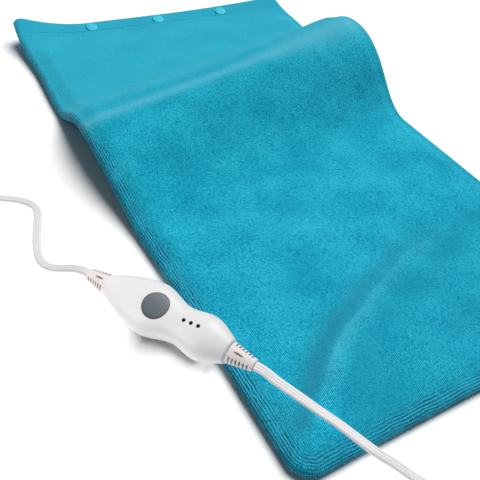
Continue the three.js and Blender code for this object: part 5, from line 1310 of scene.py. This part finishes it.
# Pieces of the part that keep their shape
repaint(felt_cloth, "felt_top", "felt_bottom")
repaint(wire_red, "heating_wire")
repaint(wire_white, "terminal_block", "mains_wire_2", "pad_wire_2")
repaint(black_moulding, "thermostat_1", "thermostat_2", "switch_body", "switch_plunger", "storage_capacitor",
        "triac", "control_chip", "mains_wire_1", "pad_wire_1")
repaint(red_dip, "film_capacitor")
repaint(board_laminate, "circuit_board")
repaint(lamp_clear, "lamp_1", "lamp_2", "lamp_3")
repaint(plated_steel, "fuse", "case_screw_1", "case_screw_2", "case_screw_3", "case_screw_4")
repaint(bright_brass, "plug_blade_1", "plug_blade_2")

# Floor and sky
FLOOR_HALF, FLOOR_LEVEL, FLOOR_CLOUD = 12.0, -0.0003, 3.0
FLOOR_SHADES = ((0.96, 0.96, 0.96, 1), (0.98, 0.98, 0.98, 1))
floor_points = [(x * FLOOR_HALF, y * FLOOR_HALF, FLOOR_LEVEL) for x, y in SQUARE]
floor = new_piece("floor", floor_points, [(0, 1, 2, 3)])
floor_material, floor_tree, floor_shader = new_material("floor_white")
floor_cloud = noise(floor_tree, own_place(floor_tree), FLOOR_CLOUD)
floor_shade = blend_colour(floor_tree, floor_cloud, *FLOOR_SHADES)
set_inputs(floor_tree, floor_shader, {"Base Color": floor_shade, "Roughness": 1.0, "Specular IOR Level": 0.0})
floor.data.materials.append(floor_material)

SKY_LIGHT = 0.09
world = bpy.data.worlds.new("sky")
world.use_nodes = True
scene.world = world
sky = world.node_tree
path_kind = sky.nodes.new("ShaderNodeLightPath").outputs
seen = maths(sky, "MAXIMUM", path_kind["Is Camera Ray"], path_kind["Is Glossy Ray"])
seen = maths(sky, "MAXIMUM", seen, path_kind["Is Transmission Ray"])
strength = maths(sky, "ADD", maths(sky, "MULTIPLY", seen, 1 - SKY_LIGHT), SKY_LIGHT)
set_inputs(sky, sky.nodes["Background"], {"Color": (1, 1, 1, 1), "Strength": strength})

# Lamps. The sun has two shares. One leaves out the white pieces, which get soft lamps of their own, so that
# they keep their shading. Neither share is blocked by the white pieces, whose shadows stay light
SUN_FROM, SUN_ANGLE = Vector((0.48, 0.22, 1.0)), math.radians(42)
SUN_STRENGTH, WHITE_SHARE, SOFT_SIZE = 3.55, 0.7, 0.2
white_case = [case_top, case_base, relief_at_mains, relief_at_pad]
white_cords = [pad_cord, mains_cord]
SOFT_LAMPS = (
    ("case", white_case, 0.33, Vector((-0.42, 0.02, 0.12)), Vector((-0.18, 0.01, 0.015))),
    ("cord", white_cords, 0.5, Vector((-0.42, -0.18, 0.32)), Vector((-0.14, -0.06, 0.01))),
)


def lamp_list(name, pieces, state="INCLUDE"):
    """Pieces that a lamp is for, or that it leaves out."""
    made = bpy.data.collections.new(name)
    for piece in pieces:
        made.objects.link(piece)
    for member in made.collection_objects:
        member.light_linking.link_state = state
    return made


def add_lamp(name, kind, energy, direction, pieces=None):
    lamp = bpy.data.objects.new(name, bpy.data.lights.new(name, kind))
    scene.collection.objects.link(lamp)
    lamp.data.energy = energy
    lamp.rotation_euler = direction.to_track_quat("Z", "Y").to_euler()
    lamp.visible_camera = False
    lamp.light_linking.receiver_collection = pieces
    return lamp


left_out = lamp_list("left_out", white_case + white_cords, "EXCLUDE")
for name, share, pieces in (("sun", WHITE_SHARE, None), ("cloth_sun", 1 - WHITE_SHARE, left_out)):
    sun = add_lamp(name, "SUN", SUN_STRENGTH * share, SUN_FROM, pieces)
    sun.data.angle = SUN_ANGLE
    sun.light_linking.blocker_collection = left_out
for name, pieces, energy, place, aim in SOFT_LAMPS:
    soft_lamp = add_lamp(f"{name}_lamp", "AREA", energy, place - aim, lamp_list(f"{name}_pieces", pieces))
    soft_lamp.data.shape = "DISK"
    soft_lamp.data.size = SOFT_SIZE
    soft_lamp.location = place
